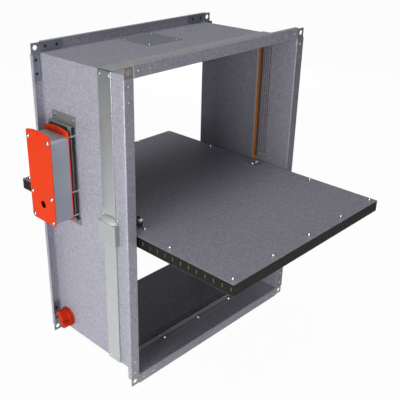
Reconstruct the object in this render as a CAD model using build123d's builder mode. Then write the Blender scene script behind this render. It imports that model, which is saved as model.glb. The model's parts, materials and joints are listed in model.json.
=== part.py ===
"""Rectangular fire damper with one blade, a fuse-released closing mechanism and duct flanges.

Millimetres. X runs across the duct, Y along it and Z up. The origin is on the duct's axis,
in the plane of the bolt faces of the front corner plates. The mechanism is on the -X wall.
The blade is drawn open, lying along the air stream.
"""
from build123d import *
from math import asin, atan2, degrees, hypot, sin
import os

os.makedirs("parts", exist_ok=True)

# Casing: four folded sheet walls
duct_width = 600.0
duct_height = 800.0
casing_length = 350.0
casing_sheet = 1.5
flange_width = 30.0
lip_depth = 10.0
wall_bend_radius = 3.0
bend_radius = 1.0

# Corner plates and the bolt pattern of the duct flange
corner_plate_sheet = 2.0
corner_arm_length = 70.0
corner_arm_radius = 7.0
corner_outer_radius = 4.0
corner_plate_gap = 0.1
bolt_hole_radius = 6.5
bolt_inset = 15.0
flange_rivet_radius = 3.4
flange_rivet_height = 1.5
rear_rivet_radius = 4.0
first_rivet_setback = 15.0
flange_rivet_pitch = 35.0

# Blade
blade_side_gap = 3.0
blade_end_gap = 5.0
blade_thickness = 30.0
pivot_setback = 95.0
skin_sheet = 1.0
edge_sheet = 1.0
edge_strip_thickness = 2.0
edge_slot_width = 3.0
edge_slot_height = 12.0
edge_slot_pitch = 25.0
blade_screw_inset = 15.0
blade_screw_radius = 4.2
blade_screw_height = 4.2
screws_across = 5

# Blade bearings
stub_radius = 7.0
stub_inner_reach = 62.0
stub_outer_reach = 14.0
running_clearance = 0.05
bush_wall = 3.0
bush_flange_wall = 6.0
bush_flange_thickness = 1.2
shaft_plate_length = 48.0
shaft_plate_width = 54.0
shaft_plate_thickness = 3.0
shaft_screw_pitch = 20.0
shaft_screw_setback = 18.0
shaft_screw_radius = 2.5
shaft_screw_head_radius = 4.5
shaft_screw_head_height = 2.6
screw_clearance = 0.25

# Thermal break slots round the closed blade, and what covers them
slot_width = 2.4
slot_row_pitch = 7.5
slot_pitch = 84.0
slot_bridge = 4.0
side_slot_bridge_start = 60.0
end_slot_bridge_start = 34.0
slot_corner_margin = 10.0
slot_pivot_margin = 36.0
strip_width = 47.0
strip_sheet = 1.0
upper_strip_height = 3.0
lower_strip_height = 5.0
lining_thickness = 2.0
lining_side_margin = 1.5

# Covers over the blade bearings
pivot_cover_width = 66.0
pivot_cover_depth = 16.0
pivot_cover_drop = 36.0
pivot_cover_rise = 22.0
pivot_hood_width = 44.0
pivot_cover_sheet = 1.2
pivot_cover_tab = 18.0
pivot_cover_screw_inset = 5.0

# Blade stops and seals
stop_height = 14.4
stop_flat = 15.4
stop_sheet = 1.5
stop_pivot_margin = 20.0
stop_corner_gap = 0.6
seal_gap = 0.4
smoke_seal_depth = 6.2
smoke_seal_width = 5.0
smoke_seal_pivot_margin = 33.0
intumescent_thickness = 2.0
intumescent_width = 9.0
seal_side_gap = 0.1
stop_rivet_pitch = 177.0
stop_rivet_inset = 13.0
stop_screw_radius = 5.0
stop_screw_height = 4.2
screw_head_radius = 4.0
screw_head_height = 2.4
rivet_tail_radius = 2.0
rivet_tail_height = 1.0
head_taper = 22.0

# Release mechanism on the -X wall
mechanism_inset = 84.5
bracket_ahead = 49.5
bracket_behind = 45.0
bracket_standoff = 16.5
bracket_sheet = 1.5
bracket_top = 240.0
bracket_bottom = -13.5
bracket_upper_leg = 24.0
bracket_lower_leg = 20.5
bracket_screw_inset = 8.5
pad_thickness = 7.0
pad_inset = 14.0
cover_sheet = 2.0
cover_half_width = 50.5
cover_bottom = -11.0
cover_shoulder = 230.0
cover_crown = 7.0
cover_corner_radius = 8.0
cover_front_shoulder_radius = 10.0
cover_rear_shoulder_radius = 3.0
cover_slit_width = 2.0
cover_slit_depth = 14.0
pin_hole_radius = 1.4
pin_hole_rear_offset = 24.5
pin_hole_front_offset = 12.0
pin_hole_drop = 8.0
housing_depth = 53.0
housing_half_width = 49.5
housing_bottom = -6.0
housing_top = 218.0
housing_corner_radius = 9.0
housing_sheet = 1.2
mechanism_screw_offset = 41.0
mechanism_screw_heights = (214.0, 65.0, -1.5)
mechanism_screw_radius = 2.5
mechanism_screw_head_radius = 5.5
mechanism_screw_head_height = 4.0
spacer_radius = 3.2
key_hole_radius = 10.0

# Drive shaft, crank and link
drive_height = 38.0
drive_shaft_radius = 6.0
drive_bush_wall = 4.0
drive_bush_reach = 13.0
spindle_side = 8.5
spindle_length = 12.0
spindle_setback = 12.0
crank_pin_forward = 64.0
crank_pin_rise = 34.0
crank_setback = 16.0
crank_thickness = 5.0
crank_hub_radius = 12.0
crank_hub_length = 18.5
crank_end_radius = 8.0
link_gap = 2.0
link_thickness = 5.0
link_end_radius = 8.0
link_bar_width = 11.0
pin_radius = 4.0
pin_head_radius = 6.5
pin_head_thickness = 2.4
pin_side_gap = 0.4
open_pivot_clearance = 0.3
blade_bracket_gap = 10.0
blade_bracket_sheet = 3.0
blade_bracket_foot = 21.0
blade_bracket_foot_half_width = 14.5
blade_bracket_half_width = 12.0
bracket_screw_gap = 0.5

# Latch, closing spring and thermal fuse
cam_radius = 24.0
cam_thickness = 4.0
cam_setback = 11.0
cam_notch_width = 9.0
cam_notch_depth = 5.0
latch_gap = 0.4
latch_arm = 43.0
latch_width = 8.0
latch_thickness = 4.0
latch_knuckle_radius = 4.5
latch_pin_radius = 2.0
latch_ear_gap = 1.0
latch_ear_thickness = 2.0
latch_fork_width = 18.0
latch_fork_height = 18.0
spring_width = 6.0
spring_strip = 0.8
spring_turns = 4
spring_pitch = 3.5
spring_side_gap = 2.0
spring_shaft_gap = 0.3
plunger_radius = 3.0
plunger_stroke = 5.0
plunger_collar_radius = 6.0
plunger_collar_thickness = 2.0
fuse_tube_wall = 2.5
fuse_tube_reach = 20.0
fuse_collar_radius = 9.0
fuse_collar_thickness = 3.0
fuse_cage_length = 34.0
fuse_cage_bar = 2.0
fuse_cage_half_width = 8.0
fuse_plate_thickness = 1.0
fuse_plate_width = 9.0
fuse_plate_length = 16.0

# Inspection port low on the -X wall
port_inset = 44.5
port_rise = 35.0
port_bore_radius = 20.0
port_neck_wall = 3.5
port_collar_radius = 28.5
port_collar_thickness = 5.0
port_neck_reach = 1.5
port_wall_gap = 0.3
cap_radius = 27.0
cap_flange_thickness = 6.0
cap_grip_height = 18.0
cap_grip_width = 21.0
cap_grip_tilt = 33.0
cap_notch_width = 8.0
cap_notch_depth = 5.0
cap_notch_place = 10.0
cap_plug_length = 6.0
cap_seat_gap = 0.3
cap_clearance = 0.06
cap_edge_radius = 1.5

# Riveted patch on the top wall
patch_offset = 4.0
patch_inset = 79.9
patch_width = 124.0
patch_length = 122.0
patch_sheet = 1.0
patch_rivet_inset = 12.0

half_width = duct_width / 2
half_height = duct_height / 2
front_face = -casing_sheet
rear_face = front_face + casing_length
blade_width = duct_width - 2 * blade_side_gap
blade_length = duct_height - 2 * blade_end_gap
half_blade = blade_thickness / 2
mechanism_wall = -half_width - casing_sheet
mechanism_setback = rear_face - mechanism_inset
port_setback = rear_face - port_inset
port_height = port_rise - half_height
patch_setback = rear_face - patch_inset
AIR = Vector(0, 1, 0)
UP = Vector(0, 0, 1)
RIGHT = Vector(1, 0, 0)


def save(piece, name):
    """Label one finished piece and write its STEP file."""
    piece.part.label = name
    export_step(piece.part, f"parts/{name}.step")


def across(outward, forward=AIR, origin=(0, 0, 0)):
    """Plane whose local x is `forward`, along the duct, and whose local y is `outward`."""
    return Plane(origin=origin, x_dir=forward, z_dir=forward.cross(outward))


def folded_profile(plane, points, thickness, side, radius=bend_radius):
    """Section of a folded sheet: one face of the sheet follows the points."""
    with BuildSketch(plane) as profile:
        with BuildLine():
            FilletPolyline(*points, radius=radius)
            offset(amount=thickness, side=side)
        make_face()
    return profile.sketch


def dome(radius, height, sides=8):
    """Low faceted head standing on the XY plane."""
    with BuildPart() as head:
        with BuildSketch():
            RegularPolygon(radius, sides)
        extrude(amount=height, taper=head_taper)
    return head.part


def facing(position, normal):
    """Location at a point of a surface, with its Z along the surface's normal."""
    return Plane(origin=position, z_dir=normal).location


# Walls of the casing

def slot_spans(bridge_start, low, high):
    """Low and high end of each slot that fits between the bridges of one row."""
    first = bridge_start - slot_pitch * round((bridge_start - low) / slot_pitch + 1)
    bridges = [first + slot_pitch * step for step in range(round((high - low) / slot_pitch) + 4)]
    edges = [low] + [bridge for bridge in bridges if low < bridge < high] + [high]
    spans = []
    for start, end in zip(edges, edges[1:]):
        start += 0 if start == low else slot_bridge / 2
        end -= 0 if end == high else slot_bridge / 2
        if end - start > 2 * slot_width:
            spans.append((start, end))
    return spans


def slot_rows(bridge_start, stretches):
    """Four staggered rows: each slot as its place along the duct and its two ends."""
    rows = []
    for row in range(4):
        along_duct = pivot_setback + (row - 1.5) * slot_row_pitch
        stagger = bridge_start - (row % 2) * slot_pitch / 2
        for low, high in stretches:
            rows += [(along_duct, start, end) for start, end in slot_spans(stagger, low, high)]
    return rows


side_stretch = (slot_pivot_margin, half_height - slot_corner_margin)
side_stretches = [side_stretch, (-side_stretch[1], -side_stretch[0])]
end_stretches = [(slot_corner_margin - half_width, half_width - slot_corner_margin)]
side_slots = slot_rows(side_slot_bridge_start, side_stretches)
end_slots = slot_rows(end_slot_bridge_start, end_stretches)


def wall_section(outward, reach):
    """Section of one wall with its two flanges and their return lips."""
    inner = reach
    outer = reach + flange_width
    points = [
        (front_face + casing_sheet + lip_depth, outer),
        (front_face, outer),
        (front_face, inner),
        (rear_face, inner),
        (rear_face, outer),
        (rear_face - casing_sheet - lip_depth, outer),
    ]
    return folded_profile(across(outward), points, casing_sheet, Side.LEFT, wall_bend_radius)


def slot_sketch(outward, reach, slots):
    """All slots of one wall, on its outer face."""
    along = RIGHT if abs(outward.Z) > 0 else UP
    plane = Plane(origin=outward * (reach + casing_sheet), x_dir=AIR, z_dir=outward)
    sign = 1 if plane.y_dir.dot(along) > 0 else -1
    with BuildSketch(plane) as slots_face:
        for along_duct, start, end in slots:
            with Locations((along_duct, sign * (start + end) / 2)):
                Rectangle(slot_width, end - start)
    return slots_face.sketch


bush_radius = stub_radius + running_clearance + bush_wall
wall_hole_radius = bush_radius + port_wall_gap
drive_bush_radius = drive_shaft_radius + running_clearance + drive_bush_wall
side_wall_reach = half_height + casing_sheet

with BuildPart() as casing_top:
    extrude(wall_section(UP, half_height), amount=half_width, both=True)
    extrude(slot_sketch(UP, half_height, end_slots), amount=-casing_sheet, mode=Mode.SUBTRACT)
save(casing_top, "casing_top")

with BuildPart() as casing_bottom:
    extrude(wall_section(-UP, half_height), amount=half_width, both=True)
    extrude(slot_sketch(-UP, half_height, end_slots), amount=-casing_sheet, mode=Mode.SUBTRACT)
save(casing_bottom, "casing_bottom")

with BuildPart() as casing_right:
    extrude(wall_section(RIGHT, half_width), amount=side_wall_reach, both=True)
    extrude(slot_sketch(RIGHT, half_width, side_slots), amount=-casing_sheet, mode=Mode.SUBTRACT)
    with Locations(facing((half_width + casing_sheet, pivot_setback, 0), RIGHT)):
        Hole(wall_hole_radius, depth=casing_sheet)
save(casing_right, "casing_right")

fuse_tube_radius = plunger_radius + running_clearance + fuse_tube_wall
port_neck_radius = port_bore_radius + port_neck_wall
latch_pivot_height = drive_height + cam_radius + latch_gap + latch_arm
fuse_height = latch_pivot_height + latch_arm

with BuildPart() as casing_left:
    extrude(wall_section(-RIGHT, half_width), amount=side_wall_reach, both=True)
    extrude(slot_sketch(-RIGHT, half_width, side_slots), amount=-casing_sheet, mode=Mode.SUBTRACT)
    with Locations(facing((mechanism_wall, pivot_setback, 0), -RIGHT)):
        Hole(wall_hole_radius, depth=casing_sheet)
    with Locations(facing((mechanism_wall, mechanism_setback, drive_height), -RIGHT)):
        Hole(drive_bush_radius + port_wall_gap, depth=casing_sheet)
    with Locations(facing((mechanism_wall, mechanism_setback, fuse_height), -RIGHT)):
        Hole(fuse_tube_radius + port_wall_gap, depth=casing_sheet)
    with Locations(facing((mechanism_wall, port_setback, port_height), -RIGHT)):
        Hole(port_neck_radius + port_wall_gap, depth=casing_sheet)
save(casing_left, "casing_left")


# Corner plates of the two flanges, with the bolt holes

corner_plate_start = wall_bend_radius + corner_plate_gap
corner_plate_end = flange_width - wall_bend_radius - corner_plate_gap
corner_inner_x = half_width + corner_plate_start
corner_inner_z = half_height + corner_plate_start
corner_outer_x = half_width + corner_plate_end
corner_outer_z = half_height + corner_plate_end


def corner_plates(front):
    """Four L-shaped plates lying behind the flange sheet, from y = front backwards."""
    with BuildPart() as plates:
        with BuildSketch(Plane.XZ.offset(-front)) as outline:
            with BuildLine():
                Polyline(
                    (corner_outer_x, corner_outer_z),
                    (half_width - corner_arm_length, corner_outer_z),
                    (half_width - corner_arm_length, corner_inner_z),
                    (corner_inner_x, corner_inner_z),
                    (corner_inner_x, half_height - corner_arm_length),
                    (corner_outer_x, half_height - corner_arm_length),
                    close=True,
                )
            make_face()
            corners = outline.vertices()
            fillet(corners.group_by(Axis.X)[0] + corners.group_by(Axis.Y)[0], corner_arm_radius)
            outer_corner = corners.sort_by_distance((corner_outer_x, corner_outer_z))[0]
            fillet(outer_corner, corner_outer_radius)
            with Locations((half_width + bolt_inset, half_height + bolt_inset)):
                Circle(bolt_hole_radius, mode=Mode.SUBTRACT)
        extrude(amount=-corner_plate_sheet)
        mirror(about=Plane.YZ)
        mirror(about=Plane.XY)
    return plates


front_corner_plates = corner_plates(0)
save(front_corner_plates, "front_corner_plates")

rear_plate_front = rear_face - casing_sheet - corner_plate_sheet
rear_corner_plates = corner_plates(rear_plate_front)
save(rear_corner_plates, "rear_corner_plates")

rivet_head = dome(flange_rivet_radius, flange_rivet_height)
rear_rivet_head = dome(rear_rivet_radius, flange_rivet_height)
rivet_tail = dome(rivet_tail_radius, rivet_tail_height)
rivet_line_x = half_width + bolt_inset
rivet_line_z = half_height + bolt_inset
rivet_steps = [first_rivet_setback, first_rivet_setback + flange_rivet_pitch]
rivet_points = [(half_width - step, rivet_line_z) for step in rivet_steps]
rivet_points += [(rivet_line_x, half_height - step) for step in rivet_steps]

corner_signs = [(side_x, side_z) for side_x in (-1, 1) for side_z in (-1, 1)]
rivet_spots = [(i * x, j * z) for x, z in rivet_points for i, j in corner_signs]
front_head_spots = [facing((x, front_face, z), -AIR) for x, z in rivet_spots]
rear_head_spots = [facing((x, rear_plate_front, z), -AIR) for x, z in rivet_spots]
tail_spots = [facing((x, corner_plate_sheet, z), AIR) for x, z in rivet_spots]
tail_spots += [facing((x, rear_face, z), AIR) for x, z in rivet_spots]

with BuildPart() as flange_rivets:
    with Locations(*front_head_spots):
        add(rivet_head)
    with Locations(*rear_head_spots):
        add(rear_rivet_head)
    with Locations(*tail_spots):
        add(rivet_tail)
save(flange_rivets, "flange_rivets")


# Cover strips over the slots, and the brown linings under them

strip_front = pivot_setback - strip_width / 2
strip_rear = pivot_setback + strip_width / 2
strip_upper_start = pivot_cover_rise + pivot_cover_tab


def strip_profile(outward, reach, height):
    """Shallow channel with its open side on the wall."""
    base = reach + casing_sheet
    points = [(strip_front, base), (strip_front, base + height)]
    points += [(strip_rear, base + height), (strip_rear, base)]
    return folded_profile(across(outward), points, strip_sheet, Side.RIGHT)


with BuildPart() as cover_strip_top:
    extrude(strip_profile(UP, half_height, upper_strip_height), amount=half_width, both=True)
save(cover_strip_top, "cover_strip_top")

with BuildPart() as cover_strip_bottom:
    extrude(strip_profile(-UP, half_height, upper_strip_height), amount=half_width, both=True)
save(cover_strip_bottom, "cover_strip_bottom")


def side_strips(outward):
    """The upper and the lower strip of one side wall, clear of the bearing cover between them."""
    upper = strip_profile(outward, half_width, upper_strip_height)
    lower = strip_profile(outward, half_width, lower_strip_height)
    with BuildPart() as strips:
        extrude(
            upper.moved(Location((0, 0, strip_upper_start))),
            amount=side_wall_reach - strip_upper_start, dir=UP,
        )
        extrude(
            lower.moved(Location((0, 0, -pivot_cover_drop))),
            amount=side_wall_reach - pivot_cover_drop, dir=-UP,
        )
    return strips


save(side_strips(-RIGHT), "cover_strips_left")
save(side_strips(RIGHT), "cover_strips_right")

lining_half_width = slot_row_pitch * 1.5 + slot_width / 2 + lining_side_margin
side_lining_middle = (strip_upper_start + half_height) / 2
side_lining_length = half_height - strip_upper_start - slot_width
lining_reach_x = half_width + casing_sheet
lining_reach_z = half_height + casing_sheet

with BuildPart() as slot_linings:
    for side in (-1, 1):
        with BuildSketch(Plane.YZ.offset(side * lining_reach_x)):
            with Locations((pivot_setback, side_lining_middle), (pivot_setback, -side_lining_middle)):
                Rectangle(2 * lining_half_width, side_lining_length)
        extrude(amount=side * lining_thickness)
        with BuildSketch(Plane.XY.offset(side * lining_reach_z)):
            with Locations((0, pivot_setback)):
                Rectangle(2 * (half_width - slot_corner_margin), 2 * lining_half_width)
        extrude(amount=side * lining_thickness)
save(slot_linings, "slot_linings")


# Covers over the two blade bearings

def pivot_cover(outward):
    """Pressed cover: a box with a quarter-round hood above it and a fixing tab behind the hood."""
    wall = Plane(
        origin=outward * (half_width + casing_sheet) + AIR * pivot_setback,
        x_dir=AIR,
        z_dir=outward,
    )
    up_sign = 1 if wall.y_dir.Z > 0 else -1
    box_middle = up_sign * (pivot_cover_rise - pivot_cover_drop) / 2
    box_height = pivot_cover_rise + pivot_cover_drop
    tab_middle = up_sign * (pivot_cover_rise + pivot_cover_tab / 2)
    inner_depth = pivot_cover_depth - pivot_cover_sheet
    hood_plane = Plane(origin=wall.origin, x_dir=outward, z_dir=outward.cross(UP))
    with BuildPart() as cover:
        with BuildSketch(wall):
            with Locations((0, box_middle)):
                Rectangle(pivot_cover_width, box_height)
        extrude(amount=pivot_cover_depth)
        fillet(cover.edges().filter_by(Axis.Z).group_by(Axis.X)[-1 if outward.X > 0 else 0], 3.0)
        with BuildSketch(wall):
            with Locations((0, tab_middle)):
                Rectangle(pivot_cover_width, pivot_cover_tab)
        extrude(amount=pivot_cover_sheet)
        with BuildSketch(hood_plane):
            with Locations((0, pivot_cover_rise)):
                Circle(pivot_cover_depth)
            with Locations((-pivot_cover_depth, pivot_cover_rise)):
                Rectangle(2 * pivot_cover_depth, 4 * pivot_cover_depth, mode=Mode.SUBTRACT)
        extrude(amount=pivot_hood_width / 2, both=True)
        with BuildSketch(wall):
            with Locations((0, box_middle)):
                Rectangle(
                    pivot_cover_width - 2 * pivot_cover_sheet,
                    box_height - 2 * pivot_cover_sheet,
                )
        extrude(amount=inner_depth, mode=Mode.SUBTRACT)
        with BuildSketch(hood_plane):
            with Locations((0, pivot_cover_rise)):
                Circle(inner_depth)
            with Locations((-pivot_cover_depth, pivot_cover_rise)):
                Rectangle(2 * pivot_cover_depth, 4 * pivot_cover_depth, mode=Mode.SUBTRACT)
        extrude(amount=pivot_hood_width / 2 - pivot_cover_sheet, both=True, mode=Mode.SUBTRACT)
    return cover


save(pivot_cover(-RIGHT), "pivot_cover_left")
save(pivot_cover(RIGHT), "pivot_cover_right")


# Top patch, and the rivets and screws of the casing's outside

patch_rivet_x = patch_width / 2 - patch_rivet_inset
patch_rivet_y = patch_length / 2 - patch_rivet_inset
top_outer = half_height + casing_sheet

with BuildPart() as top_patch_plate:
    with BuildSketch(Plane.XY.offset(top_outer)):
        with Locations((patch_offset, patch_setback)):
            RectangleRounded(patch_width, patch_length, 3 * patch_sheet)
    extrude(amount=patch_sheet)
save(top_patch_plate, "top_patch_plate")

strip_rivet_offset = strip_width / 2 - 2 * screw_head_radius
strip_rivet_height = half_height - 2 * screw_head_radius
cover_screw_offset = pivot_cover_width / 2 - pivot_cover_screw_inset
cover_screw_height = pivot_cover_rise + pivot_cover_tab - 1.5 * screw_head_radius
cover_screw_head = dome(screw_head_radius, screw_head_height)

outer_x = half_width + casing_sheet
patch_top = top_outer + patch_sheet
square = [(i, j) for i in (-1, 1) for j in (-1, 1)]
patch_spots = [(patch_offset + i * patch_rivet_x, patch_setback + j * patch_rivet_y) for i, j in square]
rivet_spots = [facing((x, y, patch_top), UP) for x, y in patch_spots]
strip_screw_spots = []
inner_tail_spots = []
for i, j in square:
    y = pivot_setback + j * strip_rivet_offset
    rivet_spots.append(facing((i * (outer_x + upper_strip_height), y, strip_rivet_height), RIGHT * i))
    rivet_spots.append(facing((i * (outer_x + lower_strip_height), y, -strip_rivet_height), RIGHT * i))
    y = pivot_setback + j * cover_screw_offset
    strip_screw_spots.append(facing((i * (outer_x + pivot_cover_sheet), y, cover_screw_height), RIGHT * i))
for i in (-1, 1):
    y = pivot_setback - cover_screw_offset
    inner_tail_spots.append(facing((i * half_width, y, cover_screw_height), -RIGHT * i))

with BuildPart() as cover_rivets:
    with Locations(*rivet_spots):
        add(rivet_head)
    with Locations(*strip_screw_spots):
        add(cover_screw_head)
    with Locations(*inner_tail_spots):
        add(rivet_tail)
save(cover_rivets, "cover_rivets")


# Blade stops: folded angles that the closed blade rests against, above and below its pivot

stop_face = half_blade + seal_gap + smoke_seal_depth


def stop_leg(half, outward, reach, along, start, end):
    """One folded angle. half is 1 above the pivot and -1 below it, where the stop faces back."""
    forward = AIR * half
    plane = across(outward, forward, AIR * pivot_setback + along * start)
    points = [
        (stop_face, reach - stop_height),
        (stop_face, reach),
        (stop_face + stop_flat, reach),
    ]
    with BuildPart() as leg:
        extrude(folded_profile(plane, points, stop_sheet, Side.RIGHT), amount=end - start, dir=along)
    return leg


end_stop_reach = half_width - stop_height - stop_corner_gap
for half, half_name, end_name in ((1, "upper", "top"), (-1, "lower", "bottom")):
    end_stop = stop_leg(half, UP * half, half_height, RIGHT, -end_stop_reach, end_stop_reach)
    save(end_stop, f"stop_{end_name}")
    for side_outward, side_name in ((-RIGHT, "left"), (RIGHT, "right")):
        args = (half, side_outward, half_width, UP * half, stop_pivot_margin, half_height)
        save(stop_leg(*args), f"stop_{half_name}_{side_name}")


def seal_arch(half, outer_gap, width, start, near, depth):
    """Arch-shaped seal of the upper or lower half, `near` to `near + depth` from the pivot plane."""
    side = half_width - outer_gap
    crown = half_height - outer_gap
    plane = Plane(origin=AIR * pivot_setback, x_dir=RIGHT, z_dir=-AIR * half)
    with BuildSketch(plane.offset(-near)) as arch:
        with BuildLine():
            Polyline(
                (side, start), (side, crown), (-side, crown), (-side, start),
                (width - side, start), (width - side, crown - width),
                (side - width, crown - width), (side - width, start), close=True,
            )
        make_face()
    with BuildPart() as seal:
        extrude(arch.sketch, amount=-depth)
    return seal.part


with BuildPart() as intumescent_seals:
    for half in (1, -1):
        add(seal_arch(
            half, smoke_seal_width + seal_side_gap, intumescent_width, stop_pivot_margin,
            stop_face - intumescent_thickness, intumescent_thickness,
        ))
save(intumescent_seals, "intumescent_seals")

with BuildPart() as smoke_seals:
    for half in (1, -1):
        add(seal_arch(
            half, 0, smoke_seal_width, smoke_seal_pivot_margin, half_blade + seal_gap, smoke_seal_depth,
        ))
save(smoke_seals, "smoke_seals")

stop_screw_offset = stop_face + stop_sheet + stop_flat / 2 - 1
stop_screw_reach = half_height - stop_sheet
stop_rivet_heights = [half_height - stop_rivet_inset - step * stop_rivet_pitch for step in range(2)]
screw_pitch = (blade_width - 2 * blade_screw_inset) / (screws_across - 1)
screw_xs = [(step - (screws_across - 1) / 2) * screw_pitch for step in range(screws_across)]
stop_screw_spots = []
screw_spots = []
inner_spots = []
outer_spots = []
for half in (1, -1):
    y = pivot_setback + half * stop_screw_offset
    stop_screw_spots += [facing((x, y, half * stop_screw_reach), -UP * half) for x in screw_xs]
    for side_x in (-1, 1):
        for height in stop_rivet_heights:
            inner_x = side_x * (half_width - stop_sheet)
            inner_spots.append(facing((inner_x, y, half * height), -RIGHT * side_x))
            outer_spots.append(facing((side_x * outer_x, y, half * height), RIGHT * side_x))


# Blade: two sheet skins, a mineral core and slotted edge bands over an intumescent strip

blade_half_width = blade_width / 2
blade_half_length = blade_length / 2
core_inset = edge_sheet + edge_strip_thickness
core_half_depth = half_blade - skin_sheet
side_screw_x = blade_half_width - blade_screw_inset
end_screw_y = blade_half_length - blade_screw_inset
shaft_screw_xs = [
    blade_half_width - shaft_screw_setback,
    blade_half_width - shaft_screw_setback - shaft_screw_pitch,
]
shaft_screw_hole = shaft_screw_radius + screw_clearance


def shaft_screw_places(height):
    """Locations of the four screws that hold the stub shafts, at one height."""
    return [Location((side * x, pivot_setback, height)) for side in (-1, 1) for x in shaft_screw_xs]


with BuildPart() as blade_top_skin:
    with BuildSketch(Plane.XY.offset(core_half_depth)):
        with Locations((0, pivot_setback)):
            Rectangle(blade_width, blade_length)
        with Locations(*[(side * x, pivot_setback) for side in (-1, 1) for x in shaft_screw_xs]):
            Circle(shaft_screw_hole, mode=Mode.SUBTRACT)
    extrude(amount=skin_sheet)
save(blade_top_skin, "blade_top_skin")

with BuildPart() as blade_bottom_skin:
    with BuildSketch(Plane.XY.offset(-half_blade)):
        with Locations((0, pivot_setback)):
            Rectangle(blade_width, blade_length)
    extrude(amount=skin_sheet)
save(blade_bottom_skin, "blade_bottom_skin")

stub_inner = blade_half_width - stub_inner_reach

with BuildPart() as blade_core:
    with BuildSketch(Plane.XY.offset(-core_half_depth)):
        with Locations((0, pivot_setback)):
            Rectangle(blade_width - 2 * core_inset, blade_length - 2 * core_inset)
    extrude(amount=2 * core_half_depth)
    for side in (-1, 1):
        with BuildSketch(Plane.YZ.offset(side * stub_inner)):
            with Locations((pivot_setback, 0)):
                Circle(stub_radius + running_clearance)
        extrude(amount=side * stub_inner_reach, mode=Mode.SUBTRACT)
    with BuildSketch(Plane.XY.offset(core_half_depth)):
        with Locations(*[(side * x, pivot_setback) for side in (-1, 1) for x in shaft_screw_xs]):
            Circle(shaft_screw_hole)
    extrude(amount=-core_half_depth, mode=Mode.SUBTRACT)
save(blade_core, "blade_core")


def edge_slot_places(half_length, keep_clear):
    """Places of the slots along one edge band, with none near the middle if keep_clear is set."""
    count = int((half_length - edge_slot_width) / edge_slot_pitch - 0.5) + 1
    places = [(step + 0.5) * edge_slot_pitch for step in range(count)]
    return [sign * place for place in places if place > keep_clear for sign in (-1, 1)]


def edge_band(plane, half_length, places, hole_radius):
    """Slotted band standing on the blade's edge. The plane's local x runs along the edge."""
    with BuildSketch(plane) as band_face:
        Rectangle(2 * half_length, 2 * core_half_depth)
        with Locations(*[(place, 0) for place in places]):
            Rectangle(edge_slot_width, edge_slot_height, mode=Mode.SUBTRACT)
        if hole_radius > 0:
            Circle(hole_radius, mode=Mode.SUBTRACT)
    with BuildPart() as band:
        extrude(band_face.sketch, amount=-edge_sheet)
    return band


end_places = edge_slot_places(blade_half_width, 0)
side_places = edge_slot_places(blade_half_length, edge_slot_pitch)
side_band_half_length = blade_half_length - edge_sheet
band_hole = stub_radius + screw_clearance
for band_name, outward, reach in (("front", -AIR, blade_half_length), ("rear", AIR, blade_half_length)):
    place = AIR * pivot_setback + outward * reach
    band_plane = Plane(origin=place, x_dir=RIGHT, z_dir=outward)
    save(edge_band(band_plane, blade_half_width, end_places, 0), f"blade_edge_{band_name}")
for band_name, outward in (("left", -RIGHT), ("right", RIGHT)):
    place = AIR * pivot_setback + outward * blade_half_width
    band_plane = Plane(origin=place, x_dir=AIR, z_dir=outward)
    band = edge_band(band_plane, side_band_half_length, side_places, band_hole)
    save(band, f"blade_edge_{band_name}")

with BuildPart() as blade_edge_intumescent:
    with BuildSketch(Plane.XY.offset(-core_half_depth)):
        with Locations((0, pivot_setback)):
            Rectangle(blade_width - 2 * edge_sheet, blade_length - 2 * edge_sheet)
            Rectangle(blade_width - 2 * core_inset, blade_length - 2 * core_inset, mode=Mode.SUBTRACT)
    extrude(amount=2 * core_half_depth)
    with BuildSketch(Plane.YZ.offset(-blade_half_width)):
        with Locations((pivot_setback, 0)):
            Circle(band_hole)
    extrude(amount=blade_width, mode=Mode.SUBTRACT)
save(blade_edge_intumescent, "blade_edge_intumescent")

blade_head = dome(blade_screw_radius, blade_screw_height)
screw_rows = [(x, i * end_screw_y) for x in screw_xs for i in (-1, 1)]
screw_rows += [(i * side_screw_x, j * end_screw_y / 2) for i, j in square]


# Stub shafts, their plates on the blade and the bushes in the casing

stub_end = half_width + stub_outer_reach - 3
plate_outer = blade_half_width
plate_middle = plate_outer - shaft_plate_length / 2


def stub_shaft(side):
    """Pin that the blade turns on, let into the core and cross-drilled for two screws."""
    with BuildPart() as stub:
        with BuildSketch(Plane.YZ.offset(side * stub_inner)):
            with Locations((pivot_setback, 0)):
                Circle(stub_radius)
        extrude(amount=side * (stub_end - stub_inner))
        chamfer(stub.faces().sort_by(Axis.X)[-1 if side > 0 else 0].edges(), 1.0)
        with BuildSketch(Plane.XY.offset(stub_radius)):
            with Locations(*[(side * x, pivot_setback) for x in shaft_screw_xs]):
                Circle(shaft_screw_hole)
        extrude(amount=-stub_radius, mode=Mode.SUBTRACT)
    return stub


def shaft_plate(side):
    """Bevelled plate on the blade over one stub shaft."""
    with BuildPart() as plate:
        with BuildSketch(Plane.XY.offset(half_blade)):
            with Locations((side * plate_middle, pivot_setback)):
                Rectangle(shaft_plate_length, shaft_plate_width)
        extrude(amount=shaft_plate_thickness)
        chamfer(plate.faces().sort_by(Axis.Z)[-1].edges().filter_by(Axis.X), shaft_plate_thickness * 0.6)
        with BuildSketch(Plane.XY.offset(half_blade)):
            with Locations(*[(side * x, pivot_setback) for x in shaft_screw_xs]):
                Circle(shaft_screw_hole)
            with Locations((side * sum(shaft_screw_xs) / 2, pivot_setback)):
                SlotOverall(shaft_screw_pitch / 2.5, shaft_screw_radius * 1.6)
        extrude(amount=shaft_plate_thickness, mode=Mode.SUBTRACT)
    return plate


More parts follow.
